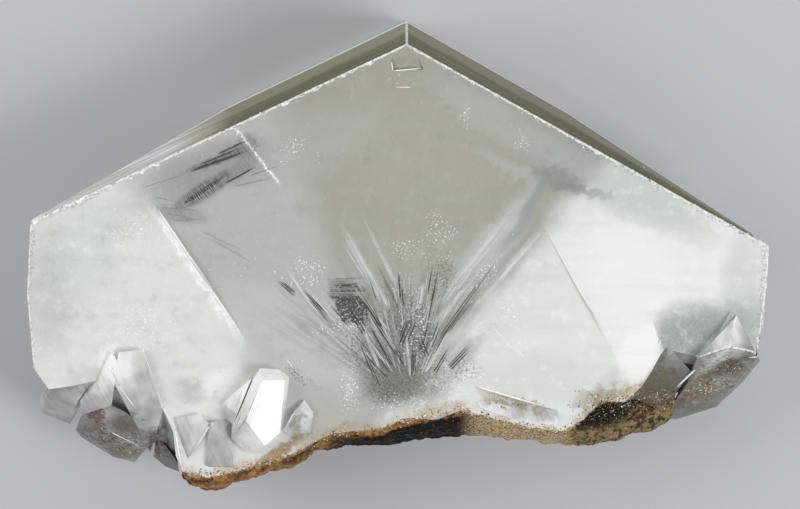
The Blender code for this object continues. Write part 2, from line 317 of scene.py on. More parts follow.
bpy.ops.object.select_all(action="DESELECT")
bpy.ops.mesh.primitive_plane_add(size=FLOOR_SIZE, location=(0, 0, -FLOOR_DROP))
floor = bpy.context.active_object
floor.name = "floor"
bpy.ops.object.transform_apply(location=True, rotation=False, scale=False)


def floor_finish():
    finish = Finish("pale_floor")
    tone = finish.noise(0.05, 3.0)
    colour = finish.mix(tone, (0.50, 0.51, 0.52), (0.54, 0.55, 0.56))
    return finish.output(finish.principled({"Base Color": colour, "Roughness": 0.8}))


floor.data.materials.append(floor_finish())
print("floor", FLOOR_SIZE, "m wide")

# %% [markdown]
# ## The twin's own surface
# The faceted model already has every face of the twin, but its mesh is loose triangles and its edges are
# mathematically sharp. A copy of it is merged, and its flat faces are dissolved back into single polygons.

# %% Merge a copy of the faceted twin
MERGE_MM = 0.005
FLAT_DEGREES = 0.1
ROOF_DEGREES = 1.5
ROOF_LEAN = 0.05
ROOF_FACET_MM2 = 100.0


def copy_of_node(node, name):
    """A merged copy of a node's mesh as a new object, which becomes the active one."""
    bpy.ops.object.select_all(action="DESELECT")
    piece = bpy.data.objects.new(name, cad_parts[node].data.copy())
    bpy.context.scene.collection.objects.link(piece)
    piece.data.materials.clear()
    bpy.context.view_layer.objects.active = piece
    piece.select_set(True)
    bpy.ops.object.mode_set(mode="EDIT")
    bpy.ops.mesh.select_all(action="SELECT")
    bpy.ops.mesh.remove_doubles(threshold=MERGE_MM * MM)
    bpy.ops.mesh.customdata_custom_splitnormals_clear()
    bpy.ops.object.mode_set(mode="OBJECT")
    bpy.ops.object.shade_flat()
    return piece


crystal = copy_of_node("calcite_twin", "calcite_crystal")
bpy.ops.object.mode_set(mode="EDIT")
bpy.ops.mesh.dissolve_limited(angle_limit=math.radians(FLAT_DEGREES))
bpy.ops.mesh.select_all(action="DESELECT")
bpy.ops.object.mode_set(mode="OBJECT")

# The facets of each roof lie about a degree apart, so they are dissolved into one.
bpy.context.tool_settings.mesh_select_mode = (False, False, True)
for face in crystal.data.polygons:
    upright = abs(face.normal.z) < ROOF_LEAN and face.center.y > at(0.0, 0.0).y
    face.select = upright and face.area > ROOF_FACET_MM2 * MM * MM
bpy.ops.object.mode_set(mode="EDIT")
bpy.ops.mesh.dissolve_limited(angle_limit=math.radians(ROOF_DEGREES))
bpy.ops.mesh.select_all(action="DESELECT")
bpy.ops.object.mode_set(mode="OBJECT")
print("crystal:", len(crystal.data.vertices), "points,", len(crystal.data.polygons), "faces")

# %% [markdown]
# The real plate's long edges are not sharp: each is a chipped, frosted line. A bevel makes the line, and it
# needs points to be chipped at, so the edges are cut into short lengths first. They are marked as seams
# before that, because cutting two edges of one flat face also nets the face, and the seams then tell the cut
# edges from the net, which is dissolved again.

# %% Cut the plate's long edges and bevel them
EDGE_ANGLE = math.radians(20.0)
LONG_EDGE_MM = 4.6
TALL_FACE_MM = 1.2
BASE_TOP_MM = -13.0
CHIP_SPACING_MM = 0.4
MOST_CUTS = 100
CHIP_WIDTH_MM = 0.18


def faces_at_edges(mesh):
    """Each edge's key with the faces that meet there."""
    found = {}
    for face in mesh.polygons:
        for key in face.edge_keys:
            found.setdefault(key, []).append(face)
    return found


def bend(faces):
    """The angle between the two faces that meet at an edge."""
    return faces[0].normal.angle(faces[1].normal)


def face_height(mesh, face):
    heights = [mesh.vertices[i].co.z for i in face.vertices]
    return (max(heights) - min(heights)) / MM


def is_plate_edge(edge, faces):
    """A long sharp edge of the plate, above its broken base. Its growth ledges are too low to count."""
    start, end = (mesh.vertices[i].co for i in edge.vertices)
    if (end - start).length < LONG_EDGE_MM * MM or (start.y + end.y) / 2 < at(0, BASE_TOP_MM).y:
        return False
    if bend(faces) < EDGE_ANGLE:
        return False
    return max(face_height(mesh, face) for face in faces) > TALL_FACE_MM


def select_edges(wanted):
    """Selects the edges for which the test holds, and nothing else, and goes into edit mode."""
    bpy.context.tool_settings.mesh_select_mode = (False, True, False)
    meeting = faces_at_edges(mesh)
    for item in list(mesh.polygons) + list(mesh.vertices):
        item.select = False
    for edge in mesh.edges:
        edge.select = wanted(edge, meeting[edge.key])
    bpy.ops.object.mode_set(mode="EDIT")


# The bevels name their materials by number, so the crystal gets its three places for materials first.
mesh = crystal.data
for number in range(3):
    mesh.materials.append(None)
select_edges(is_plate_edge)
bpy.ops.mesh.mark_seam(clear=False)
bpy.ops.object.mode_set(mode="OBJECT")
plate_edge_count = sum(edge.use_seam for edge in mesh.edges)


def cuts_wanted(edge):
    """How many cuts an edge takes, so that the pieces of long and short edges come out equally long."""
    start, end = (mesh.vertices[i].co for i in edge.vertices)
    return min(MOST_CUTS, int((end - start).length / (CHIP_SPACING_MM * MM)))


# The edges that take the same number of cuts are cut together, the longest first.
most = max(cuts_wanted(edge) for edge in mesh.edges if edge.use_seam)
while most > 1:
    select_edges(lambda edge, faces: edge.use_seam and cuts_wanted(edge) == most)
    bpy.ops.mesh.subdivide(number_cuts=most, smoothness=0.0)
    bpy.ops.object.mode_set(mode="OBJECT")
    most = max(cuts_wanted(edge) for edge in mesh.edges if edge.use_seam)

# Between two cut edges the cuts also net the flat face. The net goes, and the cut edges, now seams, stay.
select_edges(lambda edge, faces: not edge.use_seam and bend(faces) < math.radians(FLAT_DEGREES))
bpy.ops.mesh.dissolve_edges(use_verts=False)
bpy.ops.object.mode_set(mode="OBJECT")
select_edges(lambda edge, faces: edge.use_seam)
bpy.ops.mesh.bevel(offset=CHIP_WIDTH_MM * MM, segments=1, clamp_overlap=False, material=1)
bpy.ops.mesh.select_all(action="SELECT")
bpy.ops.mesh.mark_seam(clear=True)
bpy.ops.mesh.select_all(action="DESELECT")
bpy.ops.object.mode_set(mode="OBJECT")
print(plate_edge_count, "plate edges bevelled:", len(mesh.vertices), "points,", len(mesh.polygons), "faces")

# %% [markdown]
# The two rims of a bevel are now pushed about, each within its own face: the front rim into the front face,
# and the other down the roof or the side. Both faces stay flat, and no point passes its neighbour, so the
# faces don't fold over themselves.

# %% Chip the bevels
FRONT_CHIP_MM = 0.10
SIDE_CHIP_MM = 0.14
DEEP_CHIP_MM = 0.45
DEEP_CHIP_SHARE = 0.16
FLAT_MM = 0.01
CHIP_SEED = 5


def rim_pairs():
    """Each point on the front rim of a bevel with the point across the bevel from it."""
    front = FACE_HEIGHT * MM
    pairs = {}
    for face in mesh.polygons:
        if face.material_index != 1 or len(face.vertices) != 4:
            continue
        for key in face.edge_keys:
            upper, lower = sorted(key, key=lambda i: -mesh.vertices[i].co.z)
            if abs(mesh.vertices[upper].co.z - front) < FLAT_MM * MM < front - mesh.vertices[lower].co.z:
                pairs[upper] = lower
    return pairs


def chip_edges():
    """Pushes the front rim of each bevel into the front face, and the other rim down the roof or side."""
    dice = random.Random(CHIP_SEED)
    for upper, lower in sorted(rim_pairs().items()):
        rim, foot = mesh.vertices[upper].co, mesh.vertices[lower].co
        inward = Vector((rim.x - foot.x, rim.y - foot.y, 0.0)).normalized()
        deep = dice.random() < DEEP_CHIP_SHARE
        rim += inward * (dice.uniform(0.0, 1.0) * (DEEP_CHIP_MM if deep else FRONT_CHIP_MM) * MM)
        foot.z -= dice.uniform(0.0, 1.0) * (DEEP_CHIP_MM if deep else SIDE_CHIP_MM) * MM


chip_edges()
low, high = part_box("calcite_twin")
for vertex in mesh.vertices:
    vertex.co = [min(max(vertex.co[i], low[i]), high[i]) for i in range(3)]
chipped = sum(face.material_index == 1 for face in mesh.polygons)
print(chipped, "bevel faces chipped by up to", DEEP_CHIP_MM, "mm")

# %% [markdown]
# The small crystals' edges are cleaner. A narrow plain bevel catches the light along each, and its white
# finish paints a highlight there.

# %% Bevel the small crystals
SMALL_EDGE_ANGLE = math.radians(14.0)
SMALL_EDGE_MM = 0.9
SMALL_BEVEL_MM = 0.11
FOOT_TOP_MM = -11.5
LOWEST_EDGE_MM = 8.0


def is_small_edge(edge, faces):
    """An edge of a small crystal that is long and sharp enough for a bevel and not chipped already."""
    start, end = (mesh.vertices[i].co for i in edge.vertices)
    middle = (start + end) / 2
    at_foot = middle.y < at(0, FOOT_TOP_MM).y and middle.z > LOWEST_EDGE_MM * MM
    long_enough = (end - start).length > SMALL_EDGE_MM * MM
    plain = all(face.material_index == 0 for face in faces)
    return at_foot and long_enough and plain and bend(faces) > SMALL_EDGE_ANGLE


select_edges(is_small_edge)
bpy.ops.mesh.bevel(offset=SMALL_BEVEL_MM * MM, segments=1, clamp_overlap=True, material=2)
bpy.ops.mesh.select_all(action="DESELECT")
bpy.ops.object.mode_set(mode="OBJECT")
print(sum(face.material_index == 2 for face in mesh.polygons), "bevel faces on the small crystals")

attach(crystal, "root")
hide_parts("calcite_twin")

# %% [markdown]
# ## Which face is which
# The finish needs to know the olive roofs and the back from the front face, and each small crystal's facet
# from the next. Each face gets a mark, and the front face is left at zero. Each point gets how milky the
# small crystals are there, and a painted lightness that is partly their own tone and mostly painted light and
# shade: darker on shaded facets, with painted highlights on the brightest, flowing from one facet to the
# next.

# %% Facets
BACK_MARK = -2.0
ROOF_MARK = -1.0
SMALL_MARK = 1.0
SIDE_SLOPE = 0.5
LEDGE_MM = 0.03
PROUD_MM = 0.1
NEAREST_MM2 = 0.15
HOLLOW = ((31.0, -13.0), (42.5, -6.5))
# Each row: a place, how milky the crystal is there, and a painted lightness: partly the facet's own tone,
# mostly painted shade on shaded facets and painted highlights on the brightest.
FACETS = [
    (-42.5, -18.4, 0.80, 0.34), (-44.0, -20.4, 0.80, 0.55), (-41.6, -20.6, 0.80, 0.48),
    (-37.6, -17.0, 0.85, 0.80), (-36.4, -14.2, 1.0, 1.5), (-38.8, -19.6, 0.85, 0.90),
    (-34.2, -14.5, 0.85, 0.66), (-32.0, -15.0, 0.85, 0.60), (-33.8, -17.5, 0.85, 0.64),
    (-32.0, -18.5, 0.80, 0.58), (-31.6, -22.4, 0.80, 0.70), (-30.7, -24.9, 0.85, 1.2),
    (-37.0, -24.0, 0.80, 0.14), (-34.5, -23.6, 0.80, 0.08), (-38.6, -22.6, 0.80, 0.14),
    (-36.8, -21.6, 0.80, 0.45), (-34.2, -27.6, 0.80, 0.26), (-39.8, -25.2, 0.80, 0.18),
    (-30.0, -28.0, 0.80, 0.12), (-26.5, -22.6, 0.85, 0.72), (-29.2, -23.8, 0.80, 0.12),
    (-28.8, -26.2, 0.80, 0.12), (-24.7, -21.3, 0.85, 0.78), (-25.6, -24.5, 0.80, 0.62),
    (-22.5, -26.0, 0.80, 0.38), (-23.6, -25.0, 0.85, 0.58), (-21.3, -24.0, 0.80, 0.42),
    (-22.4, -21.6, 0.80, 0.60), (-16.8, -17.0, 1.0, 1.5), (-16.6, -20.0, 1.0, 1.5),
    (-17.0, -22.8, 1.0, 1.4), (-14.3, -18.0, 0.85, 0.86), (-14.0, -21.6, 0.85, 0.80),
    (-19.8, -20.2, 0.85, 0.70), (-20.6, -22.4, 0.85, 0.75), (-18.4, -24.4, 0.85, 1.2),
    (-15.8, -24.6, 0.85, 1.3), (-13.4, -21.6, 0.85, 0.86), (-11.7, -20.6, 0.85, 0.78),
    (-12.2, -23.2, 0.80, 0.58), (34.8, -14.0, 0.80, 0.27), (34.4, -16.2, 0.80, 0.17),
    (32.0, -18.5, 0.80, 0.13), (32.4, -15.4, 0.80, 0.26), (12.0, -17.6, 0.80, 0.64),
    (16.0, -19.2, 0.80, 0.60), (19.0, -20.2, 0.80, 0.60), (11.4, -19.6, 0.95, 1.0),
    (15.6, -21.0, 0.95, 1.0), (19.8, -21.8, 0.95, 1.1), (40.0, -13.8, 0.80, 0.38),
    (40.6, -10.8, 0.95, 0.96), (41.6, -9.2, 0.95, 0.9), (43.4, -10.6, 0.85, 0.46),
    (43.6, -13.8, 0.80, 0.15), (41.0, -16.5, 0.80, 0.11), (38.4, -16.0, 0.80, 0.15),
    (37.6, -19.0, 0.80, 0.10), (42.6, -17.4, 0.80, 0.24),
]


def facet_tone(x, y):
    """How milky the small crystals are at a place, and their painted light and shade: the nearest facets'
    values, blended.
    """
    weights = [1.0 / (NEAREST_MM2 + (x - row[0]) ** 2 + (y - row[1]) ** 2) ** 2 for row in FACETS]
    total = sum(weights)
    return [sum(weight * row[column] for weight, row in zip(weights, FACETS)) / total for column in (2, 3)]


def set_facets(piece):
    """Marks the back, the roofs and the small crystals, and stores how milky these are and their painted
    light and shade.
    """
    data = piece.data
    marks = data.attributes.new("facet_mark", "FLOAT", "FACE").data
    milk = data.attributes.new("facet_milk", "FLOAT", "POINT").data
    light = data.attributes.new("facet_light", "FLOAT", "POINT").data
    front = FACE_HEIGHT * MM
    low, high = at(*HOLLOW[0]), at(*HOLLOW[1])
    for face in data.polygons:
        centre = face.center
        above_foot = centre.y > at(0, BASE_TOP_MM).y and centre.z < front + PROUD_MM * MM
        in_hollow = low.x < centre.x < high.x and low.y < centre.y < high.y and centre.z < front
        if face.normal.z < -SIDE_SLOPE:
            marks[face.index].value = BACK_MARK
        elif above_foot and face_height(data, face) > TALL_FACE_MM and not in_hollow:
            marks[face.index].value = ROOF_MARK
        elif not above_foot and not in_hollow and abs(centre.z - front) > LEDGE_MM * MM:
            marks[face.index].value = SMALL_MARK
    for vertex in data.vertices:
        place = vertex.co / MM - SHIFT
        milk[vertex.index].value, light[vertex.index].value = facet_tone(place.x, place.y)


set_facets(crystal)
print(len(FACETS), "places on the small crystals set their tones")

# %% [markdown]
# ## Milky and clear calcite
# Calcite is clear where it grew undisturbed and milky where it trapped fine fluid. Both are in this one
# crystal, so the finish is a mix of a clear glass-like shader, tinted by what its depth absorbs, and a white
# shader. A mask says how milky each place is. The colours of the milk are laid over one another like washes:
# the two wings first, with crisp borders along the growth ledges, then the soft clouds and glows.

# %% Tones of the front face
CENTRE_GREY = (0.535, 0.525, 0.45)
HAZE_GREY = (0.71, 0.71, 0.655)
LEFT_WHITE = (0.83, 0.84, 0.80)
RIGHT_GREY = (0.73, 0.755, 0.72)
RIGHT_HAZE = (0.80, 0.825, 0.79)
RIGHT_WHITE = (0.86, 0.89, 0.86)
# The colour of the painted shade in the lower right hollow:
HOLLOW_SHADE = (0.34, 0.38, 0.355)
NEAR_WHITE = (0.97, 0.98, 0.95)
PURE_WHITE = (0.97, 0.98, 0.96)
ROOF_OLIVE = (0.125, 0.12, 0.06)
ROOF_GREY = (0.28, 0.275, 0.19)
# The lenses' painted dark reflection:
LENS_REFLECTION_GREEN = (0.035, 0.05, 0.037)
RUST = (0.50, 0.34, 0.13)
CALCITE_IOR = 1.6
LEFT_LEDGE = ((-19.2, -10.9), (-30.5, 6.3))

CLOUDS = [
    ((-23.5, 10.2), (8.0, 3.2), 25.0, 0.9, (0.40, 0.43, 0.39), 0.75),
    ((-33.0, 5.5), (6.0, 3.0), 25.0, 0.9, (0.66, 0.69, 0.65), 0.5),
    ((-10.0, 14.0), (9.0, 4.0), 25.0, 0.9, (0.64, 0.635, 0.58), 0.6),
    ((4.0, 13.0), (9.0, 7.0), 0.0, 0.9, (0.60, 0.59, 0.52), 0.4),
    ((12.5, 17.0), (10.0, 2.0), -30.0, 0.9, (0.66, 0.67, 0.62), 0.6),
    ((28.0, 8.4), (12.0, 3.0), -28.0, 0.9, (0.58, 0.62, 0.58), 0.85),
    ((43.4, -3.6), (2.6, 6.5), 0.0, 0.9, (0.58, 0.62, 0.60), 0.6),
    ((-43.6, -4.5), (3.4, 8.0), 0.0, 0.9, (0.56, 0.60, 0.57), 0.65),
    ((-8.5, -19.8), (5.0, 2.2), 0.0, 0.9, (0.82, 0.77, 0.63), 0.75),
    ((-23.2, -18.2), (3.2, 1.7), 0.0, 0.9, (0.97, 0.97, 0.93), 0.85),
    ((15.2, 10.6), (5.0, 0.8), -24.0, 0.9, (0.70, 0.73, 0.69), 0.55),
    ((11.6, 1.2), (8.6, 2.0), 53.0, 0.9, (0.76, 0.79, 0.75), 0.85),
    ((20.0, 9.4), (3.4, 1.5), -20.0, 0.95, (0.34, 0.37, 0.34), 0.7),
    ((22.8, 8.2), (3.6, 0.6), -8.0, 0.9, (0.30, 0.33, 0.31), 0.55),
    ((15.8, 5.0), (5.4, 0.8), 53.0, 0.9, (0.40, 0.43, 0.40), 0.65),
    ((-17.0, -12.5), (14.0, 8.0), 0.0, 0.9, (0.84, 0.84, 0.795), 0.85),
    ((-3.0, -19.5), (9.0, 2.6), 0.0, 0.9, (0.64, 0.65, 0.60), 0.7),
    ((0.8, -12.0), (4.6, 6.0), 0.0, 0.9, (0.24, 0.26, 0.215), 0.65),
    ((0.4, -16.4), (5.0, 2.8), 0.0, 0.9, (0.25, 0.26, 0.205), 0.8),
    ((-5.9, -5.4), (2.6, 1.7), -20.0, 0.7, (0.20, 0.22, 0.18), 0.7),
    ((7.8, -12.6), (3.4, 1.5), 40.0, 0.9, (0.33, 0.37, 0.345), 0.6),
    ((-39.0, 0.5), (4.5, 6.0), 0.0, 0.9, (0.66, 0.74, 0.71), 0.55),
    ((-26.5, -17.2), (2.2, 1.6), -25.0, 0.9, (0.42, 0.43, 0.40), 0.5),
    ((-22.4, -16.1), (2.9, 1.6), 20.0, 0.9, PURE_WHITE, 0.8),
    # A painted highlight on a small crystal's upper end:
    ((-36.3, -13.2), (1.6, 1.9), 0.0, 0.9, PURE_WHITE, 0.9),
    ((-38.0, -15.6), (3.5, 1.5), 30.0, 0.9, (0.50, 0.50, 0.46), 0.4),
    ((-17.5, -13.4), (2.4, 2.4), -20.0, 0.9, (0.60, 0.60, 0.57), 0.35),
    ((29.5, -3.5), (7.0, 5.0), -60.0, 0.9, (0.93, 0.955, 0.93), 0.6),
    ((30.6, -12.3), (2.7, 4.3), -28.0, 0.6, PURE_WHITE, 0.9),
    ((27.5, -16.0), (4.0, 1.4), 35.0, 0.9, (0.60, 0.62, 0.58), 0.5),
    ((17.0, -16.5), (8.0, 3.0), 0.0, 0.9, (0.66, 0.67, 0.64), 0.5),
    # Painted shade in the lower right hollow:
    ((38.3, -9.6), (6.6, 3.6), 6.0, 0.95, (0.44, 0.48, 0.45), 0.75),
    ((44.6, -9.0), (1.6, 4.0), 0.0, 0.9, (0.52, 0.56, 0.53), 0.7),
    ((30.6, -12.3), (2.2, 3.9), -28.0, 0.5, PURE_WHITE, 1.0),
]
LENSES = [
    ((-24.0, 8.2), (4.4, 0.95), 32.0, 0.95), ((-21.8, 12.2), (4.6, 0.5), 20.0, 0.7),
    ((-18.9, 13.6), (1.8, 1.3), 60.0, 0.5), ((-19.6, 10.8), (2.4, 0.9), 35.0, 0.4),
    ((-27.0, 5.0), (3.4, 1.0), -10.0, 0.35),
]
STAINS_AND_HIGHLIGHT = [
    # A painted highlight on a small crystal's upper end; the rows after it are stains.
    ((-36.1, -13.5), (1.2, 1.5), 0.0, (1.0, 1.0, 0.98), 1.0),
    ((-37.0, -21.4), (1.6, 0.5), 10.0, (0.66, 0.66, 0.60), 0.7),
    ((-38.6, -22.0), (0.9, 1.8), 0.0, (0.16, 0.055, 0.025), 0.9),
    ((-30.8, -25.5), (1.4, 2.4), 0.0, (0.10, 0.04, 0.03), 0.9),
    ((-34.4, -22.8), (2.6, 1.8), -30.0, (0.13, 0.11, 0.06), 0.75),
    ((-34.6, -27.6), (2.6, 1.2), 0.0, (0.22, 0.17, 0.09), 0.7),
    ((-12.4, -22.0), (0.8, 1.4), 0.0, (0.32, 0.25, 0.19), 0.6),
    ((-15.0, -25.2), (3.6, 0.8), 22.0, (0.42, 0.25, 0.09), 0.9),
    ((14.8, -19.3), (4.2, 0.55), -17.0, (0.42, 0.36, 0.20), 0.9),
    ((25.5, -18.4), (3.4, 1.4), 10.0, (0.30, 0.22, 0.12), 0.6),
    ((33.0, -17.4), (2.2, 2.8), -35.0, (0.15, 0.12, 0.055), 0.8),
    ((42.0, -14.9), (2.1, 1.0), 20.0, (0.05, 0.014, 0.012), 1.0),
    ((34.5, -20.4), (2.2, 1.1), 10.0, (0.10, 0.03, 0.02), 0.9),
    ((39.0, -18.0), (2.6, 2.2), 40.0, (0.24, 0.21, 0.09), 0.85),
    ((41.4, -17.2), (1.4, 1.2), 0.0, (0.42, 0.46, 0.38), 0.8),
    ((36.6, -19.8), (1.6, 1.6), 0.0, (0.20, 0.09, 0.03), 0.8),
]
PITTED = [((41.6, -15.6), (3.6, 3.4)), ((-36.6, -25.6), (4.4, 3.0)), ((35.6, -19.8), (4.4, 2.6))]
RIM_BANDS = [
    ((21.0, 15.2), (46.3, 1.2), 0.55, 0.35), ((46.2, 1.0), (45.7, -9.5), 0.45, 0.3),
    ((-45.6, 4.3), (-34.0, 9.9), 0.35, 0.3), ((-45.9, 4.1), (-46.4, -5.2), 0.3, 0.3),
    ((-46.4, -5.2), (-45.8, -14.5), 0.3, 0.3),
]
SPECKLED = [
    ((5.4, 3.0), (2.6, 1.6), 0.0), ((2.2, -9.5), (2.4, 6.5), 0.0), ((-6.3, -17.4), (1.5, 2.9), 0.0),
    ((9.3, -17.2), (6.0, 1.0), -8.0), ((9.2, -15.4), (2.4, 0.8), 0.0), ((0.0, -19.3), (4.5, 1.2), 0.0),
    ((-11.5, -2.3), (3.4, 2.2), 20.0), ((10.6, -3.0), (1.2, 4.4), -35.0), ((13.7, -7.4), (2.0, 2.4), 0.0),
    ((-5.8, -9.2), (3.6, 0.8), -5.0), ((8.4, 17.6), (0.6, 1.5), 10.0), ((15.3, 14.5), (0.8, 1.3), 25.0),
    ((-13.0, 13.6), (2.6, 1.7), 35.0), ((-34.0, 3.0), (4.0, 2.6), 30.0), ((15.6, -12.0), (0.8, 1.6), 15.0),
    ((-32.0, -9.0), (5.0, 3.5), 0.0), ((1.2, 1.0), (3.0, 2.0), 0.0),
]
DARK_GRAIN = [
    ((1.0, -8.6), (3.6, 5.0)), ((-3.4, -12.2), (3.2, 3.4)), ((3.0, -14.2), (3.4, 3.8)),
    ((-0.6, -16.8), (4.0, 2.2)), ((5.8, -3.4), (2.2, 2.6)), ((7.4, -14.4), (2.6, 1.2)),
]
BASE_LINE = [
    (-46.0, -18.0), (-38.0, -22.0), (-30.0, -26.5), (-27.0, -28.3), (-20.0, -27.8), (-13.2, -25.6),
    (-8.4, -23.0), (-2.4, -22.4), (1.0, -21.0), (8.0, -19.9), (12.9, -21.2), (20.7, -22.7),
    (25.6, -18.8), (33.0, -17.0), (40.0, -21.0), (46.0, -14.0),
]
BASE_SPAN = 46.0
FAN_ROOT = (1.5, -18.7)


def above_base(finish, x, y):
    """How far a point lies above the broken base, in millimetres."""
    points = [((px + BASE_SPAN) / (2 * BASE_SPAN), -py / BASE_SPAN) for px, py in BASE_LINE]
    along = (x + BASE_SPAN) / (2 * BASE_SPAN)
    depth = finish.node("ShaderNodeFloatCurve", {"points": points}, {"Value": along})
    return y + depth * BASE_SPAN


def fan_rays(finish, rays, seed):
    """Streaks that radiate from the fan's root, from 0 to 1, and how strongly the fan shows at each place."""
    dx, dy = finish.x - FAN_ROOT[0], finish.y - FAN_ROOT[1]
    angle = finish.math("ARCTAN2", dy, dx)
    reach = (dx * dx + dy * dy) ** 0.5
    streak = finish.noise(1.0, 3.0, 0.55, finish.join(angle * rays, reach * 0.16, seed))
    near = finish.rise(reach, 3.0, 6.0) * finish.rise(reach, 27.0, 15.0)
    upward = finish.rise(abs(angle - 1.65), 1.15, 0.75)
    return finish.rise(streak, 0.36, 0.64), near * upward


print(len(CLOUDS), "clouds,", len(SPECKLED), "speckled places and", len(STAINS_AND_HIGHLIGHT), "stains")

# %% [markdown]
# The finish is built up in layers, one function each. They share a few noises, and places that wander a
# little, so that no border in the crystal is a ruled line. Each mask that is needed again later, such as
# where a wing is, stays on the finish.

# %% Calcite's shared noises
def start_calcite():
    finish = Finish("milky_calcite")
    finish.broad = finish.noise(0.10, 3.0) - 0.5
    finish.fine = finish.noise(0.9, 4.0, 0.6) - 0.5
    finish.grain = finish.noise(3.2, 4.0, 0.65)
    finish.coarse = finish.noise(3.2, 4.0, 0.7)
    finish.wavy = (
        finish.x + finish.broad * 3.5 + finish.fine * 2.2, finish.y + finish.broad * -3.5 + finish.fine * 2.2,
    )
    finish.uneven = (finish.x + finish.fine * 0.25, finish.y + finish.fine * 0.25)
    return finish


# %% Wings and centre
def wing_colours(finish):
    """The grey centre and the two wings, with a crisp border where a growth ledge runs."""
    x, y = finish.wavy
    mid_left = finish.rise(finish.beside((-5.0, -12.0), (-12.5, 12.0), x, y), -3.0, 3.0)
    colour = finish.mix(mid_left, CENTRE_GREY, HAZE_GREY)

    at_ledge = finish.rise(finish.beside(*LEFT_LEDGE, *finish.uneven), -0.12, 0.12)
    beyond = finish.rise(finish.beside(*LEFT_LEDGE, x, y), -2.0, 4.0)
    past_ledge = finish.largest(finish.rise(y, 4.0, 8.0), finish.rise(y, -8.0, -12.0))
    finish.left_wing = at_ledge * (1.0 - past_ledge) + beyond * past_ledge
    colour = finish.mix(finish.left_wing, colour, LEFT_WHITE)

    haze = finish.beside((24.0, 10.2), (5.0, -12.5), x, y)
    finish.right_wing = finish.rise(haze, -1.6, 1.8)
    colour = finish.mix(finish.right_wing, colour, RIGHT_GREY)
    colour = finish.mix(finish.rise(haze, 0.5, 8.0), colour, RIGHT_HAZE)
    step = finish.rise(finish.beside((18.3, 3.4), (26.9, -12.2)), -0.05, 0.05) * finish.rise(y, 5.0, 1.0)
    glow = finish.rise(finish.beside((17.0, 6.0), (28.5, -15.0), x, y), 0.0, 5.0)
    return finish.mix(finish.largest(step, glow) * finish.rise(y, 9.0, 2.0), colour, RIGHT_WHITE)


# %% Clouds
def cloud_colours(finish, colour):
    """The clouds, then painted shade in the shallow hollow at lower right, whose left end is crisp."""
    for centre, radii, turn, soft, tone, strength in CLOUDS:
        colour = finish.mix(finish.blob(centre, radii, turn, soft, *finish.wavy) * strength, colour, tone)
    # Painted shade: the shallow hollow is greyed for the shade on its tilted floor, broken by grain.
    hollow_shade = finish.blob((38.6, -10.6), (7.0, 3.8), 8.0, 0.8, *finish.wavy)
    hollow_shade = hollow_shade * finish.rise(finish.beside((31.9, -8.6), (33.5, -12.6), *finish.uneven), -0.15, 0.2)
    return finish.mix(hollow_shade * (finish.rise(finish.grain, 0.62, 0.42) * 0.35 + 0.5), colour, HOLLOW_SHADE)


# %% Veils
def veil_colours(finish, colour):
    """Faint rays of the fan, drifts, mottles, threads and scratches, and the bands along the rims."""
    x, y = finish.wavy
    rays, in_fan = fan_rays(finish, 13.0, 3.0)
    colour = finish.mix(rays * in_fan * 0.35, colour, (0.76, 0.77, 0.72))
    shade, in_fan = fan_rays(finish, 24.0, 8.0)
    close = finish.rise(finish.beside((-20.0, -5.0), (20.0, -5.0)), 6.0, -8.0)
    shade = shade * in_fan * close * (1.0 - finish.right_wing) * 0.6
    colour = finish.mix(shade, colour, (0.15, 0.165, 0.13))

    drift = finish.noise(1.0, 3.0, 0.5, finish.join(finish.x * 0.09, finish.y * 0.6, 2.0))
    colour = finish.mix(finish.rise(drift, 0.45, 0.75) * 0.16, colour, (0.5, 0.525, 0.49))
    mottle = finish.noise(0.45, 5.0, 0.6)
    in_wings = finish.largest(finish.left_wing, finish.right_wing) * 0.4 + 0.12
    colour = finish.mix(finish.rise(mottle, 0.52, 0.75) * in_wings, colour, NEAR_WHITE)
    greyed = finish.rise(mottle, 0.46, 0.30) * 0.25 * (1.0 - finish.right_wing)
    colour = finish.mix(greyed, colour, (0.40, 0.42, 0.38))

    threads = finish.noise(1.0, 4.0, 0.65, finish.join(x * 1.6, y * 0.35, 5.0))
    colour = finish.mix(finish.rise(threads, 0.56, 0.72) * 0.16, colour, (0.95, 0.96, 0.92))
    scratches = finish.noise(1.0, 4.0, 0.65, finish.join(x * 3.0 + y * 1.3, y * 0.45 - x * 0.25, 9.0))
    scratches = finish.rise(scratches, 0.56, 0.68) * finish.rise(finish.x + finish.broad * 12.0, -14.0, -30.0)
    colour = finish.mix(scratches * 0.45, colour, NEAR_WHITE)
    rims = finish.largest(*[finish.strip(*row, x, y) for row in RIM_BANDS])
    return finish.mix(rims * finish.rise(finish.grain, 0.56, 0.42) * 0.6, colour, (0.32, 0.34, 0.31))


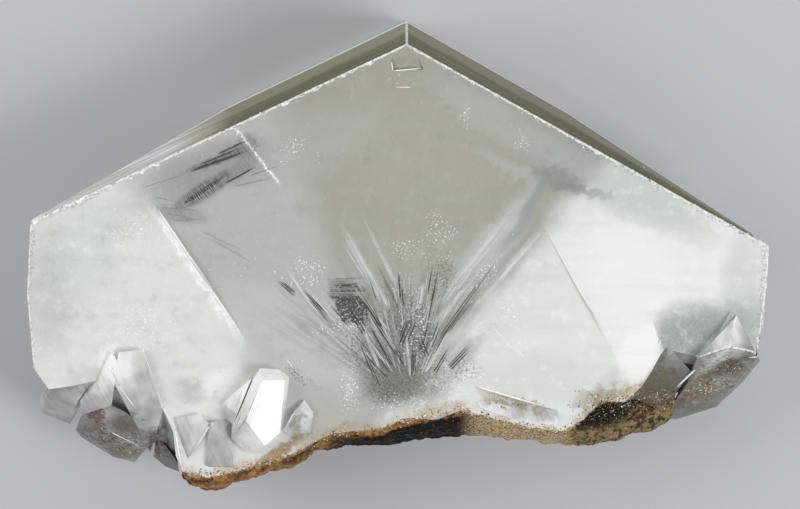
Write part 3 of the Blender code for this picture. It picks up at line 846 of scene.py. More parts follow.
# %% The fan's foot
def fan_foot_colours(finish, colour):
    """The dark grain at the fan's foot, the dark window beside it, the white specks and a line of dots."""
    x, y = finish.wavy
    dark_grain = finish.blobs(DARK_GRAIN, 0.9, x, y) * finish.rise(finish.coarse, 0.52, 0.40)
    colour = finish.mix(dark_grain * 0.6, colour, (0.05, 0.06, 0.045))

    window = finish.rise(finish.beside((-8.6, -3.6), (-6.4, -9.0), x, finish.y), -0.2, 0.2)
    window = window * finish.rise(finish.beside((-3.4, -9.8), (-4.2, -3.2), x, finish.y), -0.3, 0.3)
    window = window * finish.rise(finish.y + finish.fine * 1.5, -9.2, -8.4)
    window = window * finish.rise(finish.y + finish.fine, -2.6, -3.6)
    lines = finish.noise(1.0, 2.0, 0.6, finish.join(finish.x * 0.12, finish.y * 5.0, 0.0))
    shut = finish.largest(finish.rise(finish.y, -5.0, -5.6), finish.rise(lines, 0.50, 0.44))
    finish.window = window * shut * finish.rise(finish.grain, 0.60, 0.50)
    colour = finish.mix(finish.window * 0.92, colour, (0.02, 0.028, 0.02))

    finish.specks = finish.rise(finish.grain + finish.blobs(SPECKLED, 0.9, x, y) * 0.13, 0.70, 0.76)
    colour = finish.mix(finish.specks, colour, PURE_WHITE)
    dots = finish.strip((-13.9, -14.4), (-11.1, -17.0), 0.35, 0.35, x, y)
    return finish.mix(dots * finish.rise(finish.coarse, 0.50, 0.42), colour, (0.06, 0.025, 0.03))


# %% Frost, dark lenses and stain
def frost_and_lenses(finish, colour):
    """The frost along the left ledge and a crack, then the dark lenses, fractures painted with a dark
    reflection, with their bright hatches.
    """
    fine, grain = finish.fine, finish.grain
    x, y = finish.x + fine * 2.4 + 0.35, finish.y + fine * 1.6 + 0.2
    frost = finish.strip((-30.6, 6.6), (-19.0, -11.4), 0.45, 0.5, x, y)
    frost = frost * finish.left_wing * finish.rise(grain + fine * 0.4, 0.22, 0.48)
    crack = finish.strip((-20.2, 16.0), (-14.7, 8.9), 0.2, 0.2, finish.x + fine * 1.2)
    finish.bright = finish.largest(frost, crack * finish.rise(grain, 0.36, 0.5))
    colour = finish.mix(finish.bright, colour, PURE_WHITE)

    across = finish.join(finish.x * 0.80 + finish.y * 0.60, 0.0, 0.0)
    hatch = finish.rise(finish.noise(4.4, 2.0, 0.6, across), 0.40, 0.56)
    x, y = finish.x + fine * 1.6, finish.y + fine * 1.6
    # Painted reflection: the lenses are fractures, painted dark for the dark that they reflect.
    finish.dark = finish.largest(*[finish.blob(*row, 0.8, x, y) * strength for *row, strength in LENSES])
    return finish.mix(finish.dark * (1.0 - hatch * 0.55), colour, LENS_REFLECTION_GREEN)


def base_stain(finish, colour):
    """Rust and black grains that creep up from the broken base."""
    above = above_base(finish, finish.x, finish.y + finish.fine * 1.2)
    finish.stain = finish.rise(above, 1.7, 0.1) * finish.rise(finish.noise(0.35, 3.0), 0.32, 0.60)
    colour = finish.mix(finish.stain * 0.6, colour, RUST)
    black = finish.stain * finish.rise(finish.grain, 0.45, 0.38) * 0.8
    return finish.mix(black, colour, (0.05, 0.025, 0.012))


# %% Small crystals
def small_crystal_colours(finish, colour):
    """The small crystals' painted light and shade, streaked and cloudy, with stains, a painted highlight and,
    on the lowest, a crust of pits.
    """
    is_small, coarse = finish.is_small, finish.coarse
    striae = finish.noise(1.0, 3.0, 0.6, finish.join(finish.x * 2.6 + finish.y * 1.1, finish.y * 0.10, 0.0))
    cloudy = finish.noise(0.5, 2.0, 0.5, finish.join(finish.x, finish.y * 0.6, finish.z * 1.5))
    streaked = finish.blob((-37.6, -17.0), (2.8, 4.0), 0.0, 0.8) + 0.45
    # Painted light and shade: the painted lightness runs from dark on shaded facets to white on lit ones.
    light = finish.facet_light + finish.facet_light * ((striae - 0.5) * streaked + (cloudy - 0.5) * 1.2)
    colour = finish.mix(is_small, colour, finish.mix(light, (0.05, 0.05, 0.035), (0.95, 0.965, 0.93)))

    x, y = (wavy + finish.fine * 2.0 for wavy in finish.wavy)
    # Stains, and one painted highlight in the first row.
    for centre, radii, turn, tone, strength in STAINS_AND_HIGHLIGHT:
        stain_and_highlight = finish.blob(centre, radii, turn, 0.8, x, y) * finish.rise(finish.grain, 0.28, 0.50)
        colour = finish.mix(stain_and_highlight * strength, colour, tone)

    pits = is_small * finish.blobs(PITTED, 0.9)
    crust = finish.noise(0.9, 4.0, 0.7)
    for pattern, low, high, strength, tone in (
        (crust, 0.50, 0.42, 0.75, (0.12, 0.085, 0.04)), (crust, 0.56, 0.66, 0.6, (0.44, 0.46, 0.36)),
        (coarse, 0.46, 0.38, 0.85, (0.03, 0.02, 0.012)), (coarse, 0.62, 0.70, 0.8, (0.80, 0.76, 0.58)),
    ):
        colour = finish.mix(pits * finish.rise(pattern, low, high) * strength, colour, tone)

    frosty = finish.blob((-17.4, -24.0), (3.4, 1.9), 15.0, 0.9) * finish.rise(coarse, 0.44, 0.54)
    colour = finish.mix(frosty * is_small * 0.9, colour, PURE_WHITE)
    along_hairs = finish.join(finish.x * 5.5 - finish.y * 2.4, finish.x * 0.14 + finish.y * 0.32, 1.0)
    hairs = finish.rise(finish.noise(1.0, 2.0, 0.6, along_hairs), 0.40, 0.34)
    hairs = hairs * finish.strip((-21.0, -22.6), (-17.6, -16.0), 1.3, 0.5)
    return finish.mix(hairs * is_small * 0.7, colour, (0.16, 0.18, 0.17))


# %% Roofs
def roof_colours(finish):
    """The olive roofs in layers, darker towards the front, with a streaked left end, frosted sides and a
    painted light band along the foot.
    """
    layers = finish.noise(1.0, 3.0, 0.6, finish.join(finish.x * 0.05, finish.y * 0.05, finish.z * 0.9))
    slope_foot = finish.largest(abs(finish.x) - 22.0, 0.0) * 0.75
    from_foot = (finish.z - slope_foot) / (FACE_HEIGHT - slope_foot)
    roof = finish.mix(finish.rise(from_foot + finish.broad * 0.3, 0.62, 0.40), ROOF_OLIVE, ROOF_GREY)
    roof = finish.mix(finish.rise(layers, 0.45, 0.7) * 0.4, roof, (0.36, 0.35, 0.25))
    roof = finish.mix(finish.rise(abs(finish.x + 24.0), 5.0, 1.5) * 0.4, roof, (0.30, 0.22, 0.17))
    left_end = finish.rise(finish.x + finish.broad * 8.0, -21.0, -29.0)
    streaks = finish.mix(finish.rise(layers, 0.44, 0.58), (0.58, 0.58, 0.52), (0.92, 0.92, 0.86))
    roof = finish.mix(left_end * 0.9, roof, streaks)
    # Painted light: a pale band along the roof's foot, set against the shade where the roof meets the floor.
    roof = finish.mix(finish.rise(from_foot, 0.10, 0.04), roof, (0.85, 0.86, 0.80))
    side = finish.rise(abs(finish.x) + finish.fine, 44.3, 44.8)
    return finish.mix(side * finish.rise(finish.grain, 0.38, 0.5), roof, (0.90, 0.92, 0.90))


# %% [markdown]
# A wire from each attribute tells the finish which face it is on. The layers are then laid over one another,
# and the milkiness is put together from the masks that they left: the wings, the frost, the specks, the
# lenses and the stain are milky, and the grey centre lets a third of the light through. Only that one number
# mixes the clear shader and the milky one, so that it can be baked.

# %% Calcite finish
def read_marks(finish):
    """Masks of the kinds of face, the small crystals' own milkiness, and their painted light and shade."""
    mark, finish.facet_milk, finish.facet_light = (
        finish.node("ShaderNodeAttribute", {"attribute_name": name}, {}, "Fac")
        for name in ("facet_mark", "facet_milk", "facet_light")
    )
    finish.is_small = finish.rise(mark, 0.4, 0.6)
    finish.is_roof = finish.rise(mark, -0.4, -0.6) * finish.rise(mark, -1.6, -1.4)
    finish.is_back = finish.rise(mark, -1.4, -1.6)


def milkiness(finish):
    milk = finish.largest(finish.left_wing * 0.24, finish.right_wing * 0.28) + 0.64
    milk = finish.largest(milk, finish.bright, finish.specks, finish.dark * 0.9, finish.stain, finish.window)
    milk = milk * (1.0 - finish.is_small) * (1.0 - finish.is_roof) * (1.0 - finish.is_back)
    return milk + finish.facet_milk * finish.is_small + finish.is_roof + finish.is_back


def calcite_finish():
    finish = start_calcite()
    read_marks(finish)
    colour = wing_colours(finish)
    for add_layer in (
        cloud_colours, veil_colours, fan_foot_colours, frost_and_lenses, base_stain, small_crystal_colours,
    ):
        colour = add_layer(finish, colour)
    colour = finish.mix(finish.is_roof, colour, roof_colours(finish))
    colour = finish.mix(finish.is_back, colour, (0.86, 0.87, 0.83))

    relief = finish.bump(finish.grain * 0.3 + finish.fine * 0.5, 0.00003)
    clear = finish.principled({
        "Base Color": (0.97, 0.98, 0.95), "Roughness": 0.06, "IOR": CALCITE_IOR, "Transmission Weight": 1.0,
        "Normal": relief,
    })
    rough = finish.is_roof * 0.45 + 0.32
    milky = finish.principled({
        "Base Color": colour, "Roughness": rough, "IOR": CALCITE_IOR, "Normal": relief,
    })
    surface = finish.node("ShaderNodeMixShader", {}, {0: milkiness(finish), 1: clear, 2: milky})
    inside = finish.node("ShaderNodeVolumeAbsorption", {}, {"Color": (0.66, 0.67, 0.56), "Density": 16.0})
    return finish.output(surface, inside)


# %% Finishes of the edges
def edge_finish(name, noise, chipped, dark, light, rough, relief=None):
    """A white broken by grey for the faces of a bevel: frost on the plate's chipped edges, and a painted
    highlight on the small crystals' edges.
    """
    finish = Finish(name)
    chips = finish.noise(*noise)
    sockets = {"Base Color": finish.mix(finish.rise(chips, *chipped), dark, light), "Roughness": rough}
    if relief:
        sockets["Normal"] = finish.bump(chips, relief)
    return finish.output(finish.principled(sockets))


frosted_edge = edge_finish(
    "frosted_edge", (2.0, 3.0, 0.7), (0.36, 0.56), (0.42, 0.43, 0.38), (0.96, 0.97, 0.94), 0.45, 0.0001
)
# A painted highlight along the small crystals' edges:
edge_highlight = edge_finish(
    "edge_highlight", (1.2, 3.0, 0.6), (0.40, 0.56), (0.50, 0.51, 0.46), (0.95, 0.96, 0.93), 0.3
)
for number, made in enumerate((calcite_finish(), frosted_edge, edge_highlight)):
    crystal.data.materials[number] = made
print("calcite finish has", len(crystal.data.materials[0].node_tree.nodes), "nodes")

# %% [markdown]
# ## Fractures in the fan
# A fan of flat fractures rises from the foot. Some hold a film that scatters light and look like pale
# blades, and some are clean and look like dark slits. Each is a leaf-shaped plate. One leaf is modelled, and
# every fracture is a copy of it, stretched from its root to its tip. Each point of a copy keeps its place in
# the leaf, so that a finish can fade out towards the rim. Six blades dive into the crystal towards their
# tips, and the rest lie just at its surface.

# %% One leaf
LEAF_WIDTHS = {0.0: 0.25, 0.25: 0.9, 0.5: 1.0, 0.75: 0.7, 1.0: 0.08}


def leaf_blank():
    """A thin plate one unit long from the origin along X, one unit wide and pointed at its far end."""
    bpy.ops.object.select_all(action="DESELECT")
    bpy.ops.mesh.primitive_cube_add(size=1.0, location=(0.5, 0.0, 0.0))
    blank = bpy.context.active_object
    bpy.ops.object.transform_apply(location=True, rotation=False, scale=False)
    bpy.ops.object.mode_set(mode="EDIT")
    bpy.ops.mesh.select_all(action="SELECT")
    bpy.ops.mesh.subdivide(number_cuts=3)
    bpy.ops.mesh.select_all(action="DESELECT")
    bpy.ops.object.mode_set(mode="OBJECT")
    for place, width in LEAF_WIDTHS.items():
        for vertex in blank.data.vertices:
            vertex.select = abs(vertex.co.x - place) < 0.01
        bpy.ops.object.mode_set(mode="EDIT")
        bpy.ops.transform.resize(value=(1.0, width, 1.0), center_override=(place, 0.0, 0.0))
        bpy.ops.mesh.select_all(action="DESELECT")
        bpy.ops.object.mode_set(mode="OBJECT")
    return blank


def from_root_to_tip(root, tip, width, thickness, roll):
    """The matrix that stretches the unit leaf from root to tip, in metres, rolled by so many degrees."""
    start, end = at(*root), at(*tip)
    along = (end - start).normalized()
    side = Vector((0.0, 0.0, 1.0)).cross(along).normalized()
    up = along.cross(side)
    turned = Matrix.Rotation(math.radians(roll), 3, along)
    columns = (along * (end - start).length, turned @ side * width * MM, turned @ up * thickness * MM)
    matrix = Matrix(columns).transposed().to_4x4()
    matrix.translation = start
    return matrix


def copies(name, blank, matrices, finish):
    """One mesh object with a copy of the blank for each matrix. Each point keeps its place in the blank."""
    points = []
    faces = []
    places = []
    for number, matrix in enumerate(matrices):
        first = len(points)
        points += [matrix @ vertex.co for vertex in blank.data.vertices]
        faces += [[first + i for i in face.vertices] for face in blank.data.polygons]
        for vertex in blank.data.vertices:
            places += [vertex.co.x, vertex.co.y, float(number)]
    data = bpy.data.meshes.new(name)
    data.from_pydata(points, [], faces)
    data.attributes.new("in_blank", "FLOAT_VECTOR", "POINT").data.foreach_set("vector", places)
    data.materials.append(finish)
    piece = bpy.data.objects.new(name, data)
    bpy.context.scene.collection.objects.link(piece)
    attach(piece, "root")
    print(name, "has", len(matrices), "copies and", len(faces), "faces")
    return piece


# %% The fan of fractures
LEAF_THICKNESS = 0.04
DEEP_BLADES = [
    ((-1.2, -7.2, 19.4), (-7.8, 4.8, 14.0), 1.5, 18), ((0.5, -5.7, 19.3), (-4.7, 5.4, 13.0), 0.8, -15),
    ((-7.5, -8.9, 19.5), (-12.8, -3.1, 17.5), 0.8, 10), ((5.1, -6.9, 19.4), (16.0, 7.4, 14.0), 2.3, -12),
    ((4.0, -11.0, 19.5), (13.0, 2.0, 16.0), 0.9, 20), ((-5.2, -12.0, 19.2), (-9.5, -2.0, 15.0), 1.0, -25),
]
SURFACE_BLADES = [
    ((-1.0, -7.4), (-7.9, 5.2), 1.7), ((0.6, -5.6), (-4.8, 5.6), 0.8), ((-0.9, -10.1), (-6.5, -2.9), 0.55),
    ((-7.4, -8.9), (-13.0, -2.9), 1.1), ((5.2, -6.8), (16.2, 7.8), 2.4), ((4.2, -9.8), (11.5, 0.4), 1.4),
    ((1.6, -16.0), (0.9, -8.8), 0.6), ((-2.2, -15.0), (-5.2, -7.0), 0.7), ((3.2, -15.5), (7.2, -8.5), 0.8),
    ((2.8, -6.5), (3.2, -3.0), 0.9), ((-10.0, -7.5), (-14.5, -1.0), 0.8), ((9.0, -7.5), (20.0, 5.6), 1.5),
    ((-0.2, -12.5), (-2.4, -8.4), 0.5), ((-3.4, -4.2), (-7.4, 2.2), 0.5),
]
FAN_SEED = 12
DARK_LINES = 22
PALE_LINES = 64
DARK_SLITS = [
    ((-8.7, -8.3), (-12.4, -3.9), 0.26), ((-13.0, -5.0), (-15.0, -3.2), 0.22),
    ((-0.4, -12.4), (-4.7, -5.7), 0.36), ((-0.9, -14.0), (-4.0, -8.3), 0.26),
    ((-4.1, -9.9), (-6.2, -6.6), 0.5), ((0.5, -11.7), (2.3, -7.5), 0.50), ((3.8, -13.4), (2.2, -9.8), 0.5),
    ((0.1, -11.2), (1.2, -8.0), 0.34), ((4.2, -12.1), (12.3, -0.6), 0.32),
    ((4.7, -15.0), (6.6, -11.8), 0.34), ((6.5, -14.5), (9.2, -11.6), 0.38),
    ((1.9, -15.5), (2.1, -11.0), 0.28), ((-1.9, -9.6), (-5.6, -3.6), 0.22),
    ((0.2, -6.9), (-2.7, -1.2), 0.2), ((5.6, -10.6), (9.4, -5.6), 0.2), ((-2.6, -16.6), (-5.0, -10.8), 0.2),
    ((0.9, -14.2), (-0.9, -11.2), 0.24), ((-9.2, -7.4), (-11.8, -4.6), 0.16),
]
HATCH_LINES = 26
LENS_LEAVES = [
    ((-26.0, 10.5), (-18.0, 13.4), 0.5), ((-24.6, 11.4), (-18.4, 14.0), 0.3),
    ((-22.6, 12.6), (-18.4, 14.6), 0.4), ((-26.8, 6.4), (-21.0, 10.3), 0.7),
    ((-21.5, 9.0), (-17.2, 11.4), 0.25),
]
GROWTH_LINES = [
    ((-29.6, 6.0), (-24.4, 5.5), 0.2), ((-29.0, 5.2), (-25.0, 4.4), 0.22),
    ((-28.4, 4.2), (-23.6, 4.5), 0.16), ((-30.6, 7.4), (-26.6, 6.4), 0.16),
    ((-24.6, 3.0), (-18.6, 0.0), 0.2), ((-23.4, 2.0), (-17.6, -1.4), 0.18),
    ((-32.0, 8.4), (-26.0, 10.4), 0.2), ((-18.4, 10.0), (-14.4, 11.4), 0.2),
    ((-20.4, 8.6), (-14.6, 10.0), 0.16),
]
BRIGHT_LINES = [
    ((-0.8, 24.3), (-0.6, 22.9), 0.16), ((-0.8, 23.1), (3.4, 23.5), 0.2), ((-0.5, 21.1), (2.2, 21.1), 0.18),
    ((18.35, 3.45), (27.0, -12.25), 0.24), ((27.0, -12.25), (22.6, -4.4), 0.2),
    ((-30.4, 6.4), (-22.0, -6.4), 0.35), ((-19.2, -10.9), (-27.0, 1.0), 0.35),
    ((9.3, -16.8), (20.3, -20.0), 0.22), ((9.6, -16.9), (13.6, -18.0), 0.3),
    ((36.6, -0.6), (34.2, -4.4), 0.16), ((-14.0, -13.4), (-12.9, -14.9), 0.14),
    ((11.4, -8.6), (15.4, -13.4), 0.16),
]


def fracture_finish(name, pale, deep, strongest, soft):
    """A film with streaks along the leaf, which fades out towards the leaf's rim and its tip."""
    finish = Finish(name)
    place = finish.node("ShaderNodeAttribute", {"attribute_name": "in_blank"}, {}, "Vector")
    along, across, number = finish.split(place)
    streaks = finish.noise(1.0, 3.0, 0.6, finish.join(along * 1.6, across * 4.0, number * 3.7))
    cloud = finish.noise(0.7, 2.0)
    sides = finish.rise(abs(across), 0.5, 0.5 - soft)
    ends = finish.rise(along, 0.0, 0.12) * finish.rise(along, 1.0, 0.55)
    alpha = sides * ends * finish.rise(streaks + cloud * 0.4, 0.35, 0.85) * strongest
    colour = finish.mix(streaks, deep, pale)
    return finish.output(finish.principled({"Base Color": colour, "Roughness": 0.35, "Alpha": alpha}))


def flat_leaves(table, thickness):
    return [from_root_to_tip(root, tip, width, thickness, 0) for root, tip, width in table]


def fan_lines(dice, count, first_width, last_width):
    """Fine leaves that radiate from the fan's root, thickest in its middle."""
    rows = []
    for _ in range(count):
        angle = dice.gauss(1.75, 0.5)
        start = dice.uniform(3.0, 14.0)
        end = start + dice.uniform(1.5, 5.5)
        way = Vector((math.cos(angle), math.sin(angle)))
        root, tip = (Vector(FAN_ROOT) + way * reach for reach in (start, end))
        rows.append((root, tip, dice.uniform(first_width, last_width)))
    return flat_leaves(rows, LEAF_THICKNESS)


def lens_hatches(dice):
    """Fine bright leaves across the dark lens."""
    rows = []
    height = FACE_HEIGHT + 0.01
    for i in range(HATCH_LINES):
        share = (i + dice.uniform(0.0, 0.7)) / HATCH_LINES
        x, y = -27.0 + 7.0 * share, 6.4 + 4.4 * share
        length = dice.uniform(0.5, 1.1)
        root = (x + 0.35 * length, y - 0.55 * length, height)
        tip = (x - 0.25 * length, y + 0.45 * length, height)
        rows.append((root, tip, dice.uniform(0.05, 0.1)))
    return flat_leaves(rows, LEAF_THICKNESS)


def split_slits(dice, table):
    """Each slit as two or three thinner ones side by side, of unequal length."""
    rows = []
    for (x0, y0), (x1, y1), width in table:
        length = math.dist((x0, y0), (x1, y1))
        side_x, side_y = (y0 - y1) / length, (x1 - x0) / length
        count = dice.choice((2, 3))
        for i in range(count):
            aside = (i - (count - 1) / 2) * width * 0.8 + dice.uniform(-0.05, 0.05)
            first, last = dice.uniform(-0.15, 0.2), dice.uniform(0.75, 1.1)
            root = (x0 + (x1 - x0) * first + side_x * aside, y0 + (y1 - y0) * first + side_y * aside)
            tip = (x0 + (x1 - x0) * last + side_x * aside, y0 + (y1 - y0) * last + side_y * aside)
            rows.append((root, tip, width * dice.uniform(0.4, 0.7)))
    return rows


leaf = leaf_blank()
dice = random.Random(FAN_SEED)
deep = [from_root_to_tip(root, tip, width, LEAF_THICKNESS, roll) for root, tip, width, roll in DEEP_BLADES]
deep_film = fracture_finish("deep_film", (0.90, 0.91, 0.88), (0.8, 0.81, 0.77), 0.8, 0.4)
pale_film = fracture_finish("pale_film", (0.84, 0.85, 0.81), (0.74, 0.75, 0.71), 0.75, 0.45)
dark_film = fracture_finish("dark_film", (0.09, 0.10, 0.08), (0.012, 0.018, 0.012), 1.0, 0.35)
# The lenses' film is painted dark, for the dark that the fractures reflect.
lens_reflection_film = fracture_finish("lens_reflection_film", (0.10, 0.13, 0.11), (0.012, 0.02, 0.014), 1.0, 0.35)
grey_film = fracture_finish("grey_film", (0.42, 0.45, 0.42), (0.26, 0.28, 0.25), 0.6, 0.45)
# The white film serves the bright lines, and also paints the reflections along the small crystals' edges.
white_film_and_reflection = fracture_finish("white_film_and_reflection", (0.97, 0.98, 0.96), (0.92, 0.93, 0.90), 1.3, 0.3)

copies("deep_blades", leaf, deep, deep_film)
copies("pale_blades", leaf, flat_leaves(SURFACE_BLADES, LEAF_THICKNESS), pale_film)
slits = flat_leaves(split_slits(dice, DARK_SLITS), LEAF_THICKNESS * 1.5)
copies("dark_slits", leaf, slits, dark_film)
copies("fine_dark_lines", leaf, fan_lines(dice, DARK_LINES, 0.10, 0.22), dark_film)
copies("fine_pale_lines", leaf, fan_lines(dice, PALE_LINES, 0.10, 0.30), pale_film)
copies("dark_lens_reflections", leaf, flat_leaves(LENS_LEAVES, LEAF_THICKNESS), lens_reflection_film)
copies("growth_lines", leaf, flat_leaves(GROWTH_LINES, LEAF_THICKNESS), grey_film)
copies("bright_lines", leaf, flat_leaves(BRIGHT_LINES, LEAF_THICKNESS * 2.0), white_film_and_reflection)
copies("lens_hatches", leaf, lens_hatches(dice), pale_film)
bpy.data.objects.remove(leaf, do_unlink=True)

# %% [markdown]
# ## Chips and sparkling pits
# Tiny pits and chips catch the light all over the front face, in clusters over the fan and along the roof's
# front edge. Each is a small shard. One shard is modelled, and copies of it are scattered by seeded chance.

# %% One shard, scattered
def shard_blank():
    """A small angular splinter, one unit long."""
    bpy.ops.object.select_all(action="DESELECT")
    bpy.ops.mesh.primitive_ico_sphere_add(subdivisions=1, radius=0.5)
    made = bpy.context.active_object
    bpy.ops.object.mode_set(mode="EDIT")
    bpy.ops.mesh.select_all(action="SELECT")
    bpy.ops.transform.vertex_random(offset=0.25, uniform=0.0, normal=0.0, seed=4)
    bpy.ops.transform.resize(value=(1.0, 0.6, 0.35))
    bpy.ops.object.mode_set(mode="OBJECT")
    return made


CLUSTERS = [
    ((4.4, 4.8), (0.9, 1.3), 40), ((5.4, 2.2), (1.8, 0.8), 60), ((4.6, -0.6), (1.8, 1.6), 50),
    ((2.2, -9.5), (1.6, 4.4), 170), ((-6.4, -17.5), (0.9, 2.4), 170), ((9.0, -17.2), (5.0, 0.8), 120),
    ((9.3, -15.5), (1.6, 0.5), 60), ((0.5, -19.0), (3.5, 1.2), 90), ((-11.5, -2.5), (2.2, 2.0), 60),
    ((10.5, -2.5), (1.2, 3.5), 80), ((13.5, -7.5), (1.8, 2.2), 45), ((8.5, 17.5), (0.4, 1.4), 40),
    ((15.5, 14.5), (0.7, 1.2), 40), ((-13.5, 13.5), (2.6, 1.8), 50), ((-0.5, -4.0), (2.5, 2.5), 55),
    ((0.0, 22.0), (1.8, 1.0), 30), ((-34.0, 1.0), (4.5, 4.0), 35), ((-5.5, -9.3), (1.8, 0.5), 70),
    ((-9.3, -9.6), (1.8, 0.6), 40), ((15.5, -11.8), (0.5, 1.3), 35), ((30.0, 4.0), (10.0, 6.0), 40),
    ((-20.0, -2.0), (8.0, 6.0), 30), ((-12.4, -15.8), (1.3, 1.4), 25),
]
EDGE_RUNS = [
    ((1.1, 26.4), (20.0, 15.8), 170), ((20.0, 15.8), (46.2, 1.2), 520), ((0.9, 26.4), (-20.0, 16.4), 110),
    ((-20.0, 16.4), (-34.0, 9.8), 170), ((-34.0, 9.8), (-45.6, 4.3), 70), ((46.2, 0.8), (45.7, -9.0), 120),
    ((-45.8, 3.8), (-46.3, -5.0), 30), ((-46.3, -5.4), (-45.8, -14.0), 30), ((-20.2, 16.0), (-14.7, 8.9), 75),
    ((-30.3, 6.0), (-19.4, -10.6), 120),
]
SPREAD = 0.6
SHARD_SEED = 21


def shard_matrix(dice, place, size):
    """The matrix that puts a shard of so many millimetres at a place, tipped a little at random."""
    turn = Euler([dice.uniform(-0.5, 0.5), dice.uniform(-0.5, 0.5), dice.uniform(0.0, math.tau)]).to_matrix()
    scale = Matrix.Diagonal((size * MM, size * MM * dice.uniform(0.5, 1.2), size * MM))
    matrix = (turn @ scale).to_4x4()
    matrix.translation = place
    return matrix


def scatter_in_clusters(dice):
    """Shards in the front face, thickest at each cluster's middle."""
    matrices = []
    for (x, y), (reach_x, reach_y), count in CLUSTERS:
        for _ in range(count):
            here = (dice.gauss(x, reach_x * SPREAD), dice.gauss(y, reach_y * SPREAD))
            place = at(*here, FACE_HEIGHT - 0.02 * dice.random())
            matrices.append(shard_matrix(dice, place, dice.uniform(0.08, 0.14) / dice.uniform(0.4, 1.0)))
    return matrices


def scatter_on_edges(dice):
    """Shards along the chipped edges, just below the front face."""
    matrices = []
    for (x0, y0), (x1, y1), count in EDGE_RUNS:
        for _ in range(count):
            share = dice.random()
            x = x0 + (x1 - x0) * share + dice.gauss(0.0, 0.06)
            y = y0 + (y1 - y0) * share - abs(dice.gauss(0.0, 0.26))
            place = at(x, y, FACE_HEIGHT - 0.03)
            matrices.append(shard_matrix(dice, place, dice.uniform(0.1, 0.16) / dice.uniform(0.35, 1.0)))
    return matrices


def shard_finish():
    finish = Finish("bright_chip")
    tone = finish.noise(1.3, 1.0)
    colour = finish.mix(finish.rise(tone, 0.3, 0.7), (0.80, 0.81, 0.76), (0.97, 0.98, 0.96))
    return finish.output(finish.principled({"Base Color": colour, "Roughness": 0.25}))


dice = random.Random(SHARD_SEED)
shard = shard_blank()
chip = shard_finish()
copies("face_chips", shard, scatter_in_clusters(dice), chip)
copies("edge_chips", shard, scatter_on_edges(dice), chip)
bpy.data.objects.remove(shard, do_unlink=True)

# %% [markdown]
# ## The iron-stained rind
# The rind is weathered rock: lumpy at the scale of a millimetre and grainy below that. A copy of its
# faceted body is remeshed into an even net, swollen until it touches the crystal, then displaced by two
# clouds of noise. Its crest leans over the crystal's broken edge, so that no gap shows between them.

# %% Rind body
RIND_VOXEL_MM = 0.25
RIND_GROWTH_MM = 0.30
LEAN_START_MM = 12.0
LEAN_END_MM = 18.5
LEAN_MM = 1.0
LIFT_MM = 0.45

rind = copy_of_node("matrix_rind", "iron_rind")


def apply(kind, name, **settings):
    """Adds a modifier to the rind with these settings and applies it."""
    step = rind.modifiers.new(name, kind)
    for key, value in settings.items():
        setattr(step, key, value)
    bpy.ops.object.modifier_apply(modifier=step.name)


apply("REMESH", "net", mode="VOXEL", voxel_size=RIND_VOXEL_MM * MM)
apply("DISPLACE", "growth", strength=RIND_GROWTH_MM * MM, mid_level=0.0)
for name, scale_mm, height_mm, middle in (("lumps", 1.8, 0.9, 0.5), ("grains", 0.5, 0.4, 0.5)):
    cloud = bpy.data.textures.new(name, "CLOUDS")
    cloud.noise_scale = scale_mm * MM
    cloud.noise_depth = 3
    apply("DISPLACE", name, texture=cloud, texture_coords="LOCAL", strength=height_mm * MM, mid_level=middle)
for vertex in rind.data.vertices:
    lean = min(1.0, max(0.0, (vertex.co.z / MM - LEAN_START_MM) / (LEAN_END_MM - LEAN_START_MM)))
    vertex.co += Vector((0.0, LEAN_MM * lean * lean, LIFT_MM * lean)) * MM
print("rind:", len(rind.data.polygons), "faces")


def rind_finish():
    finish = Finish("iron_stained_rock")
    patches = finish.noise(0.28, 3.0, 0.6)
    grain = finish.noise(1.4, 4.0, 0.7)
    fine = finish.noise(4.0, 3.0, 0.7)
    above = above_base(finish, finish.x, finish.y + grain * 1.5 - 0.75)
    colour = finish.mix(finish.rise(patches, 0.36, 0.60), (0.10, 0.035, 0.005), (0.46, 0.23, 0.06))
    colour = finish.mix(finish.rise(grain, 0.52, 0.72) * 0.8, colour, (0.60, 0.38, 0.15))
    colour = finish.mix(finish.rise(grain, 0.46, 0.34) * 0.85, colour, (0.022, 0.009, 0.003))
    # Painted shadow: below the crystal's base, the rind's middle is painted nearly black.
    shadow_under_base = finish.rise(above, -1.0, -1.7) * finish.rise(abs(finish.x - 1.0), 13.0, 6.0)
    colour = finish.mix(shadow_under_base, colour, (0.010, 0.004, 0.002))
    tan = finish.rise(abs(finish.x - 15.5), 8.0, 5.0) * finish.rise(fine, 0.38, 0.56)
    colour = finish.mix(tan * 0.85, colour, (0.64, 0.52, 0.33))
    right_end = finish.rise(finish.x + patches * 4.0 - 2.0, 20.0, 24.0)
    reddish = finish.rise(patches * 0.5 + grain * 0.5, 0.50, 0.46)
    right_tone = finish.mix(reddish * 0.85, (0.30, 0.23, 0.11), (0.09, 0.03, 0.015))
    right_tone = finish.mix(finish.rise(grain, 0.54, 0.42) * 0.8, right_tone, (0.03, 0.018, 0.01))
    colour = finish.mix(right_end, colour, right_tone)
    uneven_x, uneven_y = finish.x + patches * 4.0 - 2.0, finish.y + grain * 2.0 - 1.0
    black = finish.blob((25.6, -20.4), (4.4, 2.4), 5.0, 0.8, uneven_x, uneven_y)
    colour = finish.mix(black * finish.rise(fine, 0.66, 0.56), colour, (0.004, 0.0035, 0.003))
    crest = finish.rise(above, -0.9, -0.1) * finish.rise(fine, 0.45, 0.56)
    colour = finish.mix(finish.largest(crest, finish.rise(fine, 0.64, 0.72)), colour, (0.84, 0.72, 0.50))
    rough = finish.rise(fine, 0.3, 0.7) * 0.4 + 0.35
    relief = finish.bump(fine, 0.0002)
    return finish.output(finish.principled({
        "Base Color": colour, "Roughness": rough, "Specular IOR Level": 0.15, "Normal": relief,
    }))


